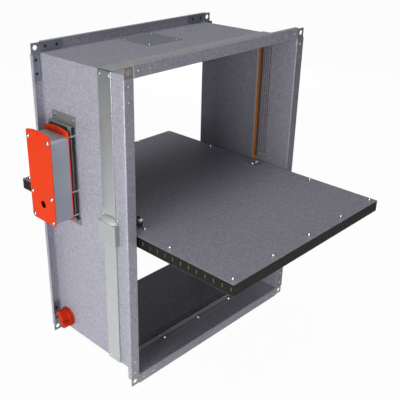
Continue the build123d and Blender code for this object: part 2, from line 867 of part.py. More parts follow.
def pivot_bush(side):
    """Flanged plain bearing pressed into one side wall from inside the duct."""
    with BuildPart() as bush:
        with BuildSketch(Plane.YZ.offset(side * (half_width - bush_flange_thickness))):
            with Locations((pivot_setback, 0)):
                Circle(bush_radius + bush_flange_wall - bush_wall)
        extrude(amount=side * bush_flange_thickness)
        with BuildSketch(Plane.YZ.offset(side * half_width)):
            with Locations((pivot_setback, 0)):
                Circle(bush_radius)
        extrude(amount=side * stub_outer_reach)
        with BuildSketch(Plane.YZ.offset(side * (half_width - bush_flange_thickness))):
            with Locations((pivot_setback, 0)):
                Circle(stub_radius + running_clearance)
        extrude(amount=side * (bush_flange_thickness + stub_outer_reach), mode=Mode.SUBTRACT)
    return bush


for side, side_name in ((-1, "left"), (1, "right")):
    save(stub_shaft(side), f"stub_shaft_{side_name}")
    save(shaft_plate(side), f"shaft_plate_{side_name}")
    save(pivot_bush(side), f"pivot_bush_{side_name}")

plate_top = half_blade + shaft_plate_thickness
shaft_head = dome(shaft_screw_head_radius, shaft_screw_head_height)

with BuildPart() as shaft_plate_screws:
    with Locations(*shaft_screw_places(plate_top)):
        add(shaft_head)
    with BuildSketch(Plane.XY.offset(plate_top)):
        with Locations(*[(side * x, pivot_setback) for side in (-1, 1) for x in shaft_screw_xs]):
            Circle(shaft_screw_radius)
    extrude(amount=-(plate_top - 1))
save(shaft_plate_screws, "shaft_plate_screws")


# Mechanism: bracket, pad, two cover plates and the housing between them

bracket_face = mechanism_wall - bracket_standoff
pad_face = bracket_face - pad_thickness
rear_cover_face = pad_face - cover_sheet
housing_face = rear_cover_face - housing_depth
front_cover_face = housing_face - cover_sheet
bracket_inner = bracket_face + bracket_sheet
bracket_front = mechanism_setback - bracket_ahead
bracket_rear = mechanism_setback + bracket_behind
bracket_slot_width = 2 * (spacer_radius + screw_clearance)
fuse_hole_radius = fuse_tube_radius + port_wall_gap
shaft_hole_radius = drive_shaft_radius + 1.0
screw_places = [
    (mechanism_setback + side * mechanism_screw_offset, height)
    for side in (-1, 1)
    for height in mechanism_screw_heights
]
bracket_points = [
    (mechanism_wall, bracket_top + bracket_upper_leg),
    (mechanism_wall, bracket_top),
    (bracket_inner, bracket_top),
    (bracket_inner, bracket_bottom),
    (mechanism_wall, bracket_bottom),
    (mechanism_wall, bracket_bottom - bracket_lower_leg),
]


def mechanism_plane(x):
    """Plane across the mechanism at one x. Local x is the duct axis and local y is up."""
    return Plane(origin=(x, 0, 0), x_dir=AIR, z_dir=RIGHT)


with BuildPart() as mounting_bracket:
    hat = folded_profile(Plane.XZ.offset(-bracket_front), bracket_points, bracket_sheet, Side.RIGHT)
    extrude(hat, amount=-(bracket_rear - bracket_front))
    with BuildSketch(mechanism_plane(bracket_face)):
        with Locations(*screw_places):
            Circle(bracket_slot_width / 2)
        for y, height in screw_places:
            edge = bracket_front if y < mechanism_setback else bracket_rear
            with Locations(((y + edge) / 2, height)):
                Rectangle(abs(y - edge), bracket_slot_width)
        with Locations((mechanism_setback, drive_height)):
            Circle(shaft_hole_radius)
        with Locations((mechanism_setback, fuse_height)):
            Circle(fuse_hole_radius)
    extrude(amount=bracket_sheet, mode=Mode.SUBTRACT)
save(mounting_bracket, "mounting_bracket")

bracket_screw_ys = [bracket_front + bracket_screw_inset, bracket_rear - bracket_screw_inset]
upper_leg_height = bracket_top + bracket_sheet + bracket_upper_leg / 2
lower_leg_height = bracket_bottom - bracket_sheet - bracket_lower_leg / 2

leg_spots = [(y, height) for y in bracket_screw_ys for height in (upper_leg_height, lower_leg_height)]

screw_spots += [facing((mechanism_wall - bracket_sheet, y, z), -RIGHT) for y, z in leg_spots]
outer_spots += [facing((-half_width, y, z), RIGHT) for y, z in leg_spots]

stop_screw_head = dome(stop_screw_radius, stop_screw_height)

with BuildPart() as casing_screws:
    with Locations(*stop_screw_spots):
        add(stop_screw_head)
    with Locations(*screw_spots):
        add(cover_screw_head)
    with Locations(*inner_spots):
        add(rivet_head)
    with Locations(*outer_spots):
        add(rivet_tail)
save(casing_screws, "casing_screws")

pad_height = bracket_top - bracket_bottom - 2 * bracket_sheet

with BuildPart() as insulating_pad:
    with BuildSketch(mechanism_plane(pad_face)):
        with Locations(((bracket_front + bracket_rear) / 2, (bracket_top + bracket_bottom) / 2)):
            Rectangle(bracket_rear - bracket_front - 2 * pad_inset, pad_height)
        with Locations((mechanism_setback, drive_height)):
            Circle(shaft_hole_radius, mode=Mode.SUBTRACT)
        with Locations((mechanism_setback, fuse_height)):
            Circle(fuse_hole_radius, mode=Mode.SUBTRACT)
    extrude(amount=pad_thickness)
save(insulating_pad, "insulating_pad")


def cover_plate(x):
    """Cover plate of the mechanism: rounded corners, an arched top with a slit, and screw holes."""
    front = mechanism_setback - cover_half_width
    rear = mechanism_setback + cover_half_width
    crown = cover_shoulder + cover_crown
    with BuildPart() as plate:
        with BuildSketch(mechanism_plane(x)):
            with BuildLine():
                ThreePointArc((front, cover_shoulder), (mechanism_setback, crown), (rear, cover_shoulder))
                Polyline(
                    (rear, cover_shoulder), (rear, cover_bottom),
                    (front, cover_bottom), (front, cover_shoulder),
                )
            make_face()
        extrude(amount=cover_sheet)
        edges = plate.edges().filter_by(Axis.X)
        shoulders = edges.group_by(Axis.Z)[-1].sort_by(Axis.Y)
        fillet(edges.group_by(Axis.Z)[0], cover_corner_radius)
        fillet(shoulders[0], cover_front_shoulder_radius)
        fillet(shoulders[-1], cover_rear_shoulder_radius)
        with BuildSketch(mechanism_plane(x)):
            with Locations((mechanism_setback, crown - cover_slit_depth / 2)):
                Rectangle(cover_slit_width, cover_slit_depth)
            with Locations(*screw_places):
                Circle(mechanism_screw_radius + screw_clearance)
        extrude(amount=cover_sheet, mode=Mode.SUBTRACT)
    return plate.part


latch_x = rear_cover_face - cam_setback - cam_thickness / 2
ear_inner = latch_width / 2 + latch_ear_gap
ear_reach = rear_cover_face - latch_x + latch_knuckle_radius

rear_cover = cover_plate(rear_cover_face)
front_cover = cover_plate(front_cover_face)

with BuildPart() as rear_cover_plate:
    add(rear_cover)
    with BuildSketch(mechanism_plane(rear_cover_face)):
        with Locations((mechanism_setback, drive_height)):
            Circle(shaft_hole_radius)
        with Locations((mechanism_setback, fuse_height)):
            Circle(fuse_hole_radius)
    extrude(amount=cover_sheet, mode=Mode.SUBTRACT)
    for side in (-1, 1):
        ear_start = mechanism_setback + side * ear_inner
        with BuildSketch(Plane.XZ.offset(-ear_start)):
            with Locations((rear_cover_face - ear_reach / 2, latch_pivot_height)):
                Rectangle(ear_reach, 2 * latch_knuckle_radius)
        extrude(amount=-side * latch_ear_thickness)
    with BuildSketch(Plane.XZ.offset(-(mechanism_setback - ear_inner))):
        with Locations((latch_x, latch_pivot_height)):
            Circle(latch_pin_radius)
    extrude(amount=-2 * ear_inner)
save(rear_cover_plate, "rear_cover_plate")

housing_height = housing_top - housing_bottom
housing_middle = (housing_top + housing_bottom) / 2

with BuildPart() as mechanism_housing:
    with BuildSketch(mechanism_plane(housing_face)):
        with Locations((mechanism_setback, housing_middle)):
            RectangleRounded(2 * housing_half_width, housing_height, housing_corner_radius)
            RectangleRounded(
                2 * (housing_half_width - housing_sheet),
                housing_height - 2 * housing_sheet,
                housing_corner_radius - housing_sheet,
                mode=Mode.SUBTRACT,
            )
    extrude(amount=housing_depth)
save(mechanism_housing, "mechanism_housing")

with BuildPart() as front_cover_plate:
    add(front_cover)
    with BuildSketch(mechanism_plane(front_cover_face)):
        with Locations((mechanism_setback, drive_height)):
            Circle(key_hole_radius)
        with Locations(
            (mechanism_setback + pin_hole_rear_offset, cover_shoulder + cover_crown - pin_hole_drop),
            (mechanism_setback - pin_hole_front_offset, cover_shoulder + cover_crown - pin_hole_drop),
        ):
            Circle(pin_hole_radius)
    extrude(amount=cover_sheet, mode=Mode.SUBTRACT)
save(front_cover_plate, "front_cover_plate")

mechanism_head = dome(mechanism_screw_head_radius, mechanism_screw_head_height, 12)

with BuildPart() as mechanism_screws:
    with Locations(*[facing((front_cover_face, y, z), -RIGHT) for y, z in screw_places]):
        add(mechanism_head)
    with BuildSketch(mechanism_plane(front_cover_face)):
        with Locations(*screw_places):
            Circle(mechanism_screw_radius)
    extrude(amount=mechanism_wall - front_cover_face)
    with BuildSketch(mechanism_plane(pad_face)):
        with Locations(*screw_places):
            Circle(spacer_radius)
    extrude(amount=mechanism_wall - pad_face)
save(mechanism_screws, "mechanism_screws")


# Drive: shaft with the latch cam, its bush, and the crank inside the duct

crank_outer = -half_width + crank_setback
crank_inner = crank_outer + crank_thickness
link_outer = crank_inner + link_gap
link_inner = link_outer + link_thickness
blade_bracket_outer = link_inner + blade_bracket_gap
cam_outer = latch_x - cam_thickness / 2
spindle_end = housing_face + spindle_setback
round_start = spindle_end + spindle_length
cam_notch_floor = drive_height + cam_radius - cam_notch_depth

with BuildPart() as drive_shaft:
    with BuildSketch(mechanism_plane(round_start)):
        with Locations((mechanism_setback, drive_height)):
            Circle(drive_shaft_radius)
    extrude(amount=crank_inner - round_start)
    with BuildSketch(mechanism_plane(spindle_end)):
        with Locations((mechanism_setback, drive_height)):
            Rectangle(spindle_side, spindle_side)
    extrude(amount=spindle_length)
    with BuildSketch(mechanism_plane(cam_outer)):
        with Locations((mechanism_setback, drive_height)):
            Circle(cam_radius)
        with Locations((mechanism_setback, cam_notch_floor + cam_notch_depth)):
            Rectangle(cam_notch_width, 2 * cam_notch_depth, mode=Mode.SUBTRACT)
    extrude(amount=cam_thickness)
save(drive_shaft, "drive_shaft")

with BuildPart() as drive_shaft_bush:
    with BuildSketch(mechanism_plane(mechanism_wall - drive_bush_reach)):
        with Locations((mechanism_setback, drive_height)):
            Circle(drive_bush_radius)
    extrude(amount=drive_bush_reach + casing_sheet)
    with BuildSketch(mechanism_plane(-half_width)):
        with Locations((mechanism_setback, drive_height)):
            Circle(drive_bush_radius + bush_wall)
    extrude(amount=bush_flange_thickness)
    with BuildSketch(mechanism_plane(mechanism_wall - drive_bush_reach)):
        with Locations((mechanism_setback, drive_height)):
            Circle(drive_shaft_radius + running_clearance)
    extrude(amount=drive_bush_reach + casing_sheet + bush_flange_thickness, mode=Mode.SUBTRACT)
save(drive_shaft_bush, "drive_shaft_bush")

crank_pin = (mechanism_setback - crank_pin_forward, drive_height + crank_pin_rise)
blade_pin = (pivot_setback - crank_pin_forward, crank_pin_rise)
crank_axis = (mechanism_setback, drive_height)
link_run = crank_pin[0] - blade_pin[0]
link_climb = crank_pin[1] - blade_pin[1]
link_length = hypot(link_run, link_climb)
link_angle = degrees(atan2(link_climb, link_run))
link_middle = ((crank_pin[0] + blade_pin[0]) / 2, (crank_pin[1] + blade_pin[1]) / 2)

with BuildPart() as crank_arm:
    with BuildSketch(mechanism_plane(crank_outer)):
        with Locations(crank_axis):
            Circle(crank_hub_radius)
        with Locations(crank_pin):
            Circle(crank_end_radius)
        make_hull()
    extrude(amount=crank_thickness)
    with BuildSketch(mechanism_plane(crank_inner - crank_hub_length)):
        with Locations(crank_axis):
            Circle(crank_hub_radius)
    extrude(amount=crank_hub_length)
    with BuildSketch(mechanism_plane(crank_inner)):
        with Locations(crank_pin):
            Circle(pin_radius)
    extrude(amount=link_inner + pin_side_gap - crank_inner)
    with BuildSketch(mechanism_plane(link_inner + pin_side_gap)):
        with Locations(crank_pin):
            Circle(pin_head_radius)
    extrude(amount=pin_head_thickness)
    with BuildSketch(mechanism_plane(crank_inner - crank_hub_length)):
        with Locations(crank_axis):
            Circle(drive_shaft_radius + running_clearance)
    extrude(amount=crank_hub_length, mode=Mode.SUBTRACT)
save(crank_arm, "crank_arm")

with BuildPart() as link_rod:
    with BuildSketch(mechanism_plane(link_outer)):
        with Locations(blade_pin, crank_pin):
            Circle(link_end_radius)
        with Locations(link_middle):
            Rectangle(link_length, link_bar_width, rotation=link_angle)
        with Locations(blade_pin):
            Circle(pin_radius + open_pivot_clearance, mode=Mode.SUBTRACT)
        with Locations(crank_pin):
            Circle(pin_radius + running_clearance, mode=Mode.SUBTRACT)
    extrude(amount=link_thickness)
save(link_rod, "link_rod")

bracket_foot_end = blade_bracket_outer + blade_bracket_foot

with BuildPart() as drive_bracket:
    with BuildSketch(mechanism_plane(blade_bracket_outer)):
        with Locations(blade_pin):
            Circle(blade_bracket_half_width)
        with Locations((blade_pin[0], (blade_pin[1] + half_blade) / 2)):
            Rectangle(2 * blade_bracket_half_width, blade_pin[1] - half_blade)
    extrude(amount=blade_bracket_sheet)
    with BuildSketch(Plane.XY.offset(half_blade)):
        with Locations(((blade_bracket_outer + bracket_foot_end) / 2, blade_pin[0])):
            Rectangle(blade_bracket_foot, 2 * blade_bracket_foot_half_width)
    extrude(amount=blade_bracket_sheet)
    with BuildSketch(mechanism_plane(link_outer - pin_side_gap)):
        with Locations(blade_pin):
            Circle(pin_radius)
    extrude(amount=blade_bracket_outer - link_outer + pin_side_gap)
    with BuildSketch(mechanism_plane(link_inner + pin_side_gap)):
        with Locations(blade_pin):
            Circle(pin_head_radius)
    extrude(amount=blade_bracket_outer - link_inner - pin_side_gap)
    with BuildSketch(mechanism_plane(link_outer - pin_side_gap - pin_head_thickness)):
        with Locations(blade_pin):
            Circle(pin_head_radius)
    extrude(amount=pin_head_thickness)
save(drive_bracket, "drive_bracket")

foot_front = blade_pin[0] - blade_bracket_foot_half_width
foot_screw_y = foot_front - bracket_screw_gap - blade_screw_radius
upper_spots = [facing((x, pivot_setback + y, half_blade), UP) for x, y in screw_rows]
upper_spots.append(facing((blade_bracket_outer, foot_screw_y, half_blade), UP))
lower_spots = [facing((x, pivot_setback + y, -half_blade), -UP) for x, y in screw_rows]

with BuildPart() as blade_screws:
    with Locations(*upper_spots):
        add(blade_head)
    with Locations(*lower_spots):
        add(rivet_head)
save(blade_screws, "blade_screws")


# Closing spring, latch lever, plunger and thermal fuse

spring_inner_x = rear_cover_face - spring_side_gap
spring_start_radius = drive_shaft_radius + spring_shaft_gap


def spring_arc_points(turn_half, face):
    """Start, middle and end of one half turn of one face of the spiral strip."""
    growth = spring_pitch / 2
    start_radius = spring_start_radius + turn_half * growth
    end_radius = start_radius + growth
    sign = 1 if turn_half % 2 == 0 else -1
    centre = mechanism_setback + sign * (start_radius - end_radius) / 2
    radius = (start_radius + end_radius) / 2 + face
    start = (centre + sign * radius, drive_height)
    top = (centre, drive_height + sign * radius)
    end = (centre - sign * radius, drive_height)
    return start, top, end


with BuildPart() as closing_spring:
    with BuildSketch(mechanism_plane(spring_inner_x - spring_width)):
        with BuildLine():
            for face in (0, spring_strip):
                for turn_half in range(2 * spring_turns):
                    ThreePointArc(*spring_arc_points(turn_half, face))
            Line(spring_arc_points(0, 0)[0], spring_arc_points(0, spring_strip)[0])
            last = 2 * spring_turns - 1
            Line(spring_arc_points(last, 0)[2], spring_arc_points(last, spring_strip)[2])
        make_face()
    extrude(amount=spring_width)
save(closing_spring, "closing_spring")

latch_face = latch_x - latch_thickness / 2
nose_bottom = drive_height + cam_radius + latch_gap
fork_bottom = fuse_height - latch_fork_height / 2
fork_slot = 2 * (plunger_radius + latch_gap)

with BuildPart() as latch_lever:
    with BuildSketch(mechanism_plane(latch_face)):
        with Locations((mechanism_setback, (nose_bottom + fork_bottom) / 2)):
            Rectangle(latch_width, fork_bottom - nose_bottom)
        with Locations((mechanism_setback, fuse_height)):
            Rectangle(latch_fork_width, latch_fork_height)
            Circle(fork_slot / 2, mode=Mode.SUBTRACT)
        with Locations((mechanism_setback, fuse_height + latch_fork_height / 2)):
            Rectangle(fork_slot, latch_fork_height, mode=Mode.SUBTRACT)
    extrude(amount=latch_thickness)
    with BuildSketch(Plane.XZ.offset(-(mechanism_setback - latch_width / 2))):
        with Locations((latch_x, latch_pivot_height)):
            Circle(latch_knuckle_radius)
    extrude(amount=-latch_width)
    with BuildSketch(Plane.XZ.offset(-(mechanism_setback - latch_width / 2))):
        with Locations((latch_x, latch_pivot_height)):
            Circle(latch_pin_radius + running_clearance)
    extrude(amount=-latch_width, mode=Mode.SUBTRACT)
save(latch_lever, "latch_lever")

collar_gap = latch_gap + latch_fork_height / 2 * sin(asin(plunger_stroke / latch_arm))
tube_mouth = rear_cover_face - fuse_collar_thickness
tube_end = -half_width + fuse_tube_reach
plunger_inner_end = tube_end + plunger_stroke
plunger_outer_end = latch_x - latch_thickness / 2 - collar_gap - plunger_collar_thickness

with BuildPart() as release_plunger:
    with BuildSketch(mechanism_plane(plunger_outer_end)):
        with Locations((mechanism_setback, fuse_height)):
            Circle(plunger_radius)
    extrude(amount=plunger_inner_end - plunger_outer_end)
    with BuildSketch(mechanism_plane(plunger_outer_end)):
        with Locations((mechanism_setback, fuse_height)):
            Circle(plunger_collar_radius)
    extrude(amount=plunger_collar_thickness)
    with BuildSketch(mechanism_plane(latch_x + latch_thickness / 2 + collar_gap)):
        with Locations((mechanism_setback, fuse_height)):
            Circle(plunger_collar_radius)
    extrude(amount=plunger_collar_thickness)
save(release_plunger, "release_plunger")

cage_end = tube_end + fuse_cage_length

with BuildPart() as fuse_holder:
    with BuildSketch(mechanism_plane(tube_mouth)):
        with Locations((mechanism_setback, fuse_height)):
            RegularPolygon(fuse_collar_radius, 6)
    extrude(amount=fuse_collar_thickness)
    with BuildSketch(mechanism_plane(rear_cover_face)):
        with Locations((mechanism_setback, fuse_height)):
            Circle(fuse_tube_radius)
    extrude(amount=tube_end - rear_cover_face)
    for side in (-1, 1):
        bar_place = mechanism_setback + side * (fuse_cage_half_width - fuse_cage_bar / 2)
        with BuildSketch(mechanism_plane(tube_end - fuse_cage_bar)):
            with Locations((bar_place, fuse_height)):
                Rectangle(fuse_cage_bar, 3 * fuse_cage_bar)
        extrude(amount=fuse_cage_length + fuse_cage_bar)
    with BuildSketch(mechanism_plane(cage_end - fuse_cage_bar)):
        with Locations((mechanism_setback, fuse_height)):
            Rectangle(2 * fuse_cage_half_width, 3 * fuse_cage_bar)
    extrude(amount=fuse_cage_bar)
    with BuildSketch(mechanism_plane(tube_end - fuse_cage_bar)):
        with Locations((mechanism_setback, fuse_height)):
            Rectangle(2 * fuse_cage_half_width, 3 * fuse_cage_bar)
    extrude(amount=fuse_cage_bar)
    with BuildSketch(mechanism_plane(tube_mouth)):
        with Locations((mechanism_setback, fuse_height)):
            Circle(plunger_radius + running_clearance)
    extrude(amount=tube_end - tube_mouth, mode=Mode.SUBTRACT)
save(fuse_holder, "fuse_holder")

fixed_plate_end = cage_end - fuse_cage_bar
fixed_plate_start = fixed_plate_end - fuse_plate_length
moving_plate_end = plunger_inner_end + fuse_plate_length


def fuse_plate(start, end, base):
    """One thin plate of the fuse link, lying from `base` upwards."""
    with BuildPart() as plate:
        with BuildSketch(Plane.XY.offset(base)):
            with Locations(((start + end) / 2, mechanism_setback)):
                Rectangle(end - start, fuse_plate_width)
        extrude(amount=fuse_plate_thickness)
    return plate


fuse_link_fixed_half = fuse_plate(fixed_plate_start, fixed_plate_end, fuse_height)
save(fuse_link_fixed_half, "fuse_link_fixed_half")
fuse_link_moving_half = fuse_plate(plunger_inner_end, moving_plate_end, fuse_height - fuse_plate_thickness)
save(fuse_link_moving_half, "fuse_link_moving_half")


# Inspection port and its turning cap

collar_face = mechanism_wall - port_collar_thickness
cap_base = collar_face - cap_seat_gap
cap_flange_face = cap_base - cap_flange_thickness
port_inner_end = -half_width + port_neck_reach

with BuildPart() as inspection_port_collar:
    with BuildSketch(mechanism_plane(collar_face)):
        with Locations((port_setback, port_height)):
            Circle(port_collar_radius)
    extrude(amount=port_collar_thickness)
    chamfer(inspection_port_collar.faces().sort_by(Axis.X)[0].edges(), 1.0)
    with BuildSketch(mechanism_plane(collar_face)):
        with Locations((port_setback, port_height)):
            Circle(port_neck_radius)
    extrude(amount=port_inner_end - collar_face)
    with BuildSketch(mechanism_plane(collar_face)):
        with Locations((port_setback, port_height)):
            Circle(port_bore_radius)
    extrude(amount=port_inner_end - collar_face, mode=Mode.SUBTRACT)
save(inspection_port_collar, "inspection_port_collar")

with BuildPart() as port_cap:
    with BuildSketch(mechanism_plane(cap_flange_face)):
        with Locations((port_setback, port_height)):
            Circle(cap_radius)
    extrude(amount=cap_flange_thickness)
    with BuildSketch(mechanism_plane(cap_flange_face - cap_grip_height)):
        with Locations((port_setback, port_height)):
            Circle(cap_radius - cap_edge_radius)
            Rectangle(cap_grip_width, 2 * cap_radius, rotation=-cap_grip_tilt, mode=Mode.INTERSECT)
    extrude(amount=cap_grip_height)
    fillet(port_cap.faces().sort_by(Axis.X)[0].edges(), cap_edge_radius)
    with BuildSketch(mechanism_plane(cap_flange_face - cap_grip_height)):
        with Locations(Location((port_setback, port_height, 0), (0, 0, -cap_grip_tilt))):
            with Locations(
                (cap_grip_width / 2, cap_notch_place),
                (-cap_grip_width / 2, -cap_notch_place),
            ):
                Rectangle(2 * cap_notch_depth, cap_notch_width)
    extrude(amount=cap_grip_height, mode=Mode.SUBTRACT)
    with BuildSketch(mechanism_plane(cap_base)):
        with Locations((port_setback, port_height)):
            Circle(port_bore_radius - cap_clearance)
    extrude(amount=cap_plug_length)
save(port_cap, "port_cap")
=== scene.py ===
# %% [markdown]
# # A rectangular fire damper
# The object is a flanged sheet-steel duct casing with one thick blade that turns on a shaft through its
# middle. A spring drive in a box on the left wall closes it when a fuse melts. The construction comes from
# the frame, where each piece is already at its real size and place, so this notebook works on what the eye
# sees: the camera, the light, the finish of each surface and the small rounded things, such as screw heads
# and eased sheet edges, whose absence gives a plain solid away.

# %% Load the frame
import json
from math import cos, pi, radians, sin

import bpy
from mathutils import Matrix, Vector


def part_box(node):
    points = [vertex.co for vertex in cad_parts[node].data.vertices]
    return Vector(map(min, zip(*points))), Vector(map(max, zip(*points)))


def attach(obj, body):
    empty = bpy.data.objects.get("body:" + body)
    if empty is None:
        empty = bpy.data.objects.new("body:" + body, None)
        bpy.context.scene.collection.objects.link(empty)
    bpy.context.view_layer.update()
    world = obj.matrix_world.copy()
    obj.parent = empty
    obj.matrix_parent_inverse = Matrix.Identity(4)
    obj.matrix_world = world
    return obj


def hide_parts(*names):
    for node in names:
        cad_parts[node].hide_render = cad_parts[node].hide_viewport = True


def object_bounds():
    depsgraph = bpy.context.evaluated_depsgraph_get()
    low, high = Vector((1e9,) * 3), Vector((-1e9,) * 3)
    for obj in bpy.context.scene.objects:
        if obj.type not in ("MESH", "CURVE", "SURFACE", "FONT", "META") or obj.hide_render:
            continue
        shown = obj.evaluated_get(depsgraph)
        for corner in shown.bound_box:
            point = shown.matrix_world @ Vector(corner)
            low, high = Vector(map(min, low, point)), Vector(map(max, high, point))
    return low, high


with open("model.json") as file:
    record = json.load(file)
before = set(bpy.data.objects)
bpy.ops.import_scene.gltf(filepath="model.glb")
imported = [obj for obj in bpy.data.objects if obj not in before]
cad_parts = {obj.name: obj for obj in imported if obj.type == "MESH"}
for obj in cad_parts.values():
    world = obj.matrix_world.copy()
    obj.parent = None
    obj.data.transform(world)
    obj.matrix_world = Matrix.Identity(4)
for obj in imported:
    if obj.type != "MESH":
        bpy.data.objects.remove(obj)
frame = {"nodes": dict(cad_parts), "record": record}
cad_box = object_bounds()
nodes = frame["nodes"]
MM = 0.001
bodies = frame["record"]["behaviour"]["bodies"]
body_of_node = {node: body for body, members in bodies.items() for node in members}
print(len(nodes), "nodes, from", tuple(cad_box[0]), "to", tuple(cad_box[1]))

# %% [markdown]
# ## The camera
# The picture is taken from the front left and a little above, with a long lens. The place and the angles
# below come from the perspective of the flanges. The principal point is off the centre, which the shift
# of the lens takes up. The Standard view shows colours as they are lit, with no film curve over them.

# %% Place the camera
bpy.context.scene.view_settings.view_transform = "Standard"
camera_place = Vector((-1218.4, -1030.1, 764.4)) * MM
camera_tilt = 90 - 25.12
camera_heading = -44.6
camera_roll = -0.09
bpy.ops.object.camera_add(location=camera_place)
camera = bpy.context.object
camera.name = "camera"
camera.rotation_euler = (radians(camera_tilt), radians(camera_roll), radians(camera_heading))
camera.data.sensor_width = 36.0
camera.data.lens = 58.91
camera.data.shift_x = 0.0845
camera.data.shift_y = -0.0053
camera.data.clip_end = 60.0
bpy.context.scene.camera = camera
print("camera", tuple(camera.location), "lens", camera.data.lens)

# %% [markdown]
# ## Colour and nodes
# Finishes are written as the sRGB colours that a paint chart would give, and one function turns them into
# the linear values that a shader takes. Another adds a node with its settings and links, so that each
# finish below reads as a list of what it is made of. A finish starts from an empty material and ends with
# its colour, roughness and relief led into the shader, and each of the two has its function. The last one
# turns a real size into the scale of a texture.

# %% Helpers for the finishes


def linear(chart_colour):
    """The linear colour of an sRGB hex value."""
    channels = [int(chart_colour[at:at + 2], 16) / 255 for at in (1, 3, 5)]
    return [c / 12.92 if c <= 0.04045 else ((c + 0.055) / 1.055) ** 2.4 for c in channels] + [1.0]


def add_node(material, kind, inputs=None, **settings):
    """Add one node. Inputs map a socket to a value or to another node's output."""
    tree = material.node_tree
    node = tree.nodes.new(kind)
    for name, value in settings.items():
        setattr(node, name, value)
    for name, value in (inputs or {}).items():
        if isinstance(value, bpy.types.NodeSocket):
            tree.links.new(value, node.inputs[name])
        else:
            node.inputs[name].default_value = value
    return node


def new_finish(name):
    """An empty material with its shader and the object's own coordinates."""
    material = bpy.data.materials.new(name)
    material.use_nodes = True
    shader = material.node_tree.nodes["Principled BSDF"]
    place = add_node(material, "ShaderNodeTexCoord").outputs["Object"]
    return material, shader, place


def lead_in(material, shader, colour, gloss, relief):
    """Lead a colour, a roughness and a relief into the shader."""
    links = material.node_tree.links
    links.new(colour.outputs[2], shader.inputs["Base Color"])
    links.new(gloss.outputs[0], shader.inputs["Roughness"])
    links.new(relief.outputs[0], shader.inputs["Normal"])


def per_metre(size_mm):
    """Texture scale at which one cell or wave has that size."""
    return 1000.0 / size_mm


print("mid grey", linear("#808080")[0])

# %% [markdown]
# ## The floor
# The object stands on studio paper, pale and matt. For the camera the paper is lifted towards white without
# adding light to the object, so that the shadow stays faint. For mirror rays it glows in a painted white
# pool round the object that fades outwards, which bright metal mirrors as a painted reflection and which
# grades the tall cover strips from their foot upwards.

# %% Build the floor
white = (1.0, 1.0, 1.0, 1.0)
floor_side = 40.0
floor_seen = 0.97
mirror_near = 1.0
mirror_far = 0.10
mirror_middle = (-0.45, -0.1, 0.0)
mirror_reach = (0.25, 1.9)
bpy.ops.mesh.primitive_plane_add(size=floor_side, location=(0, 0, cad_box[0].z))
floor = bpy.context.object
floor.name = "studio_floor"
floor.data.transform(floor.matrix_world)
floor.matrix_world = Matrix.Identity(4)
studio, paper, floor_place = new_finish("studio_paper")
paper.inputs["Base Color"].default_value = linear("#D2D2D4")
paper.inputs["Roughness"].default_value = 0.9
paper.inputs["Specular IOR Level"].default_value = 0.0
rays = add_node(studio, "ShaderNodeLightPath")
to_eye = add_node(studio, "ShaderNodeMath", {
    0: rays.outputs["Is Camera Ray"], 1: rays.outputs["Is Transmission Ray"]}, operation="MAXIMUM")
seen = add_node(studio, "ShaderNodeMath", {0: to_eye.outputs[0], 1: floor_seen}, operation="MULTIPLY")
# Painted glow: mirror rays see the paper glowing white round the object, fading outwards.
away = add_node(studio, "ShaderNodeVectorMath", {0: floor_place, 1: mirror_middle}, operation="DISTANCE")
pool = add_node(studio, "ShaderNodeMapRange", {
    "Value": away.outputs["Value"], "From Min": mirror_reach[0], "From Max": mirror_reach[1],
    "To Min": mirror_near, "To Max": mirror_far})
lift = add_node(studio, "ShaderNodeMath", {
    0: rays.outputs["Is Glossy Ray"], 1: pool.outputs[0], 2: seen.outputs[0]}, operation="MULTIPLY_ADD")
glow = add_node(studio, "ShaderNodeEmission", {"Color": white, "Strength": 1.0})
mixed = add_node(studio, "ShaderNodeMixShader", {
    0: lift.outputs[0], 1: paper.outputs[0], 2: glow.outputs[0]})
studio.node_tree.links.new(mixed.outputs[0], studio.node_tree.nodes["Material Output"].inputs["Surface"])
floor.data.materials.append(studio)
print("floor at", round(cad_box[0].z, 4), "m")

# %% [markdown]
# ## The air
# The camera sees plain white behind the object. To everything else the air is dim and a little brighter
# from the front left, so that the inside of the duct, which the lamps don't reach, stays dark. Bright metal
# mirrors the air stronger than it lights, because a real studio has pale walls outside the picture.

# %% Fill the world
air_side = Vector((-0.55, -0.62, 0.56))
air_reach = (-0.3, 0.9)
air_dim = 0.05
air_bright = 0.09
mirror_gain = 1.5
world = bpy.data.worlds.new("studio")
bpy.context.scene.world = world
world.use_nodes = True
sky = world.node_tree.nodes["Background"]
sky_rays = add_node(world, "ShaderNodeLightPath")
sky_way = add_node(world, "ShaderNodeTexCoord").outputs["Generated"]
sky_turn = add_node(world, "ShaderNodeVectorMath", {0: sky_way, 1: air_side}, operation="DOT_PRODUCT")
sky_air = add_node(world, "ShaderNodeMapRange", {
    "Value": sky_turn.outputs["Value"], "From Min": air_reach[0], "From Max": air_reach[1],
    "To Min": air_dim, "To Max": air_bright})
sky_gloss = add_node(world, "ShaderNodeMath", {
    0: sky_rays.outputs["Is Glossy Ray"], 1: mirror_gain, 2: 1.0}, operation="MULTIPLY_ADD")
sky_lit = add_node(world, "ShaderNodeMath", {
    0: sky_air.outputs[0], 1: sky_gloss.outputs[0]}, operation="MULTIPLY")
sky_eye = add_node(world, "ShaderNodeMath", {
    0: sky_rays.outputs["Is Camera Ray"], 1: sky_rays.outputs["Is Transmission Ray"]}, operation="MAXIMUM")
sky_strength = add_node(world, "ShaderNodeMath", {
    0: sky_eye.outputs[0], 1: sky_lit.outputs[0]}, operation="MAXIMUM")
sky.inputs["Color"].default_value = white
world.node_tree.links.new(sky_strength.outputs[0], sky.inputs["Strength"])
print("air from", air_dim, "to", air_bright)

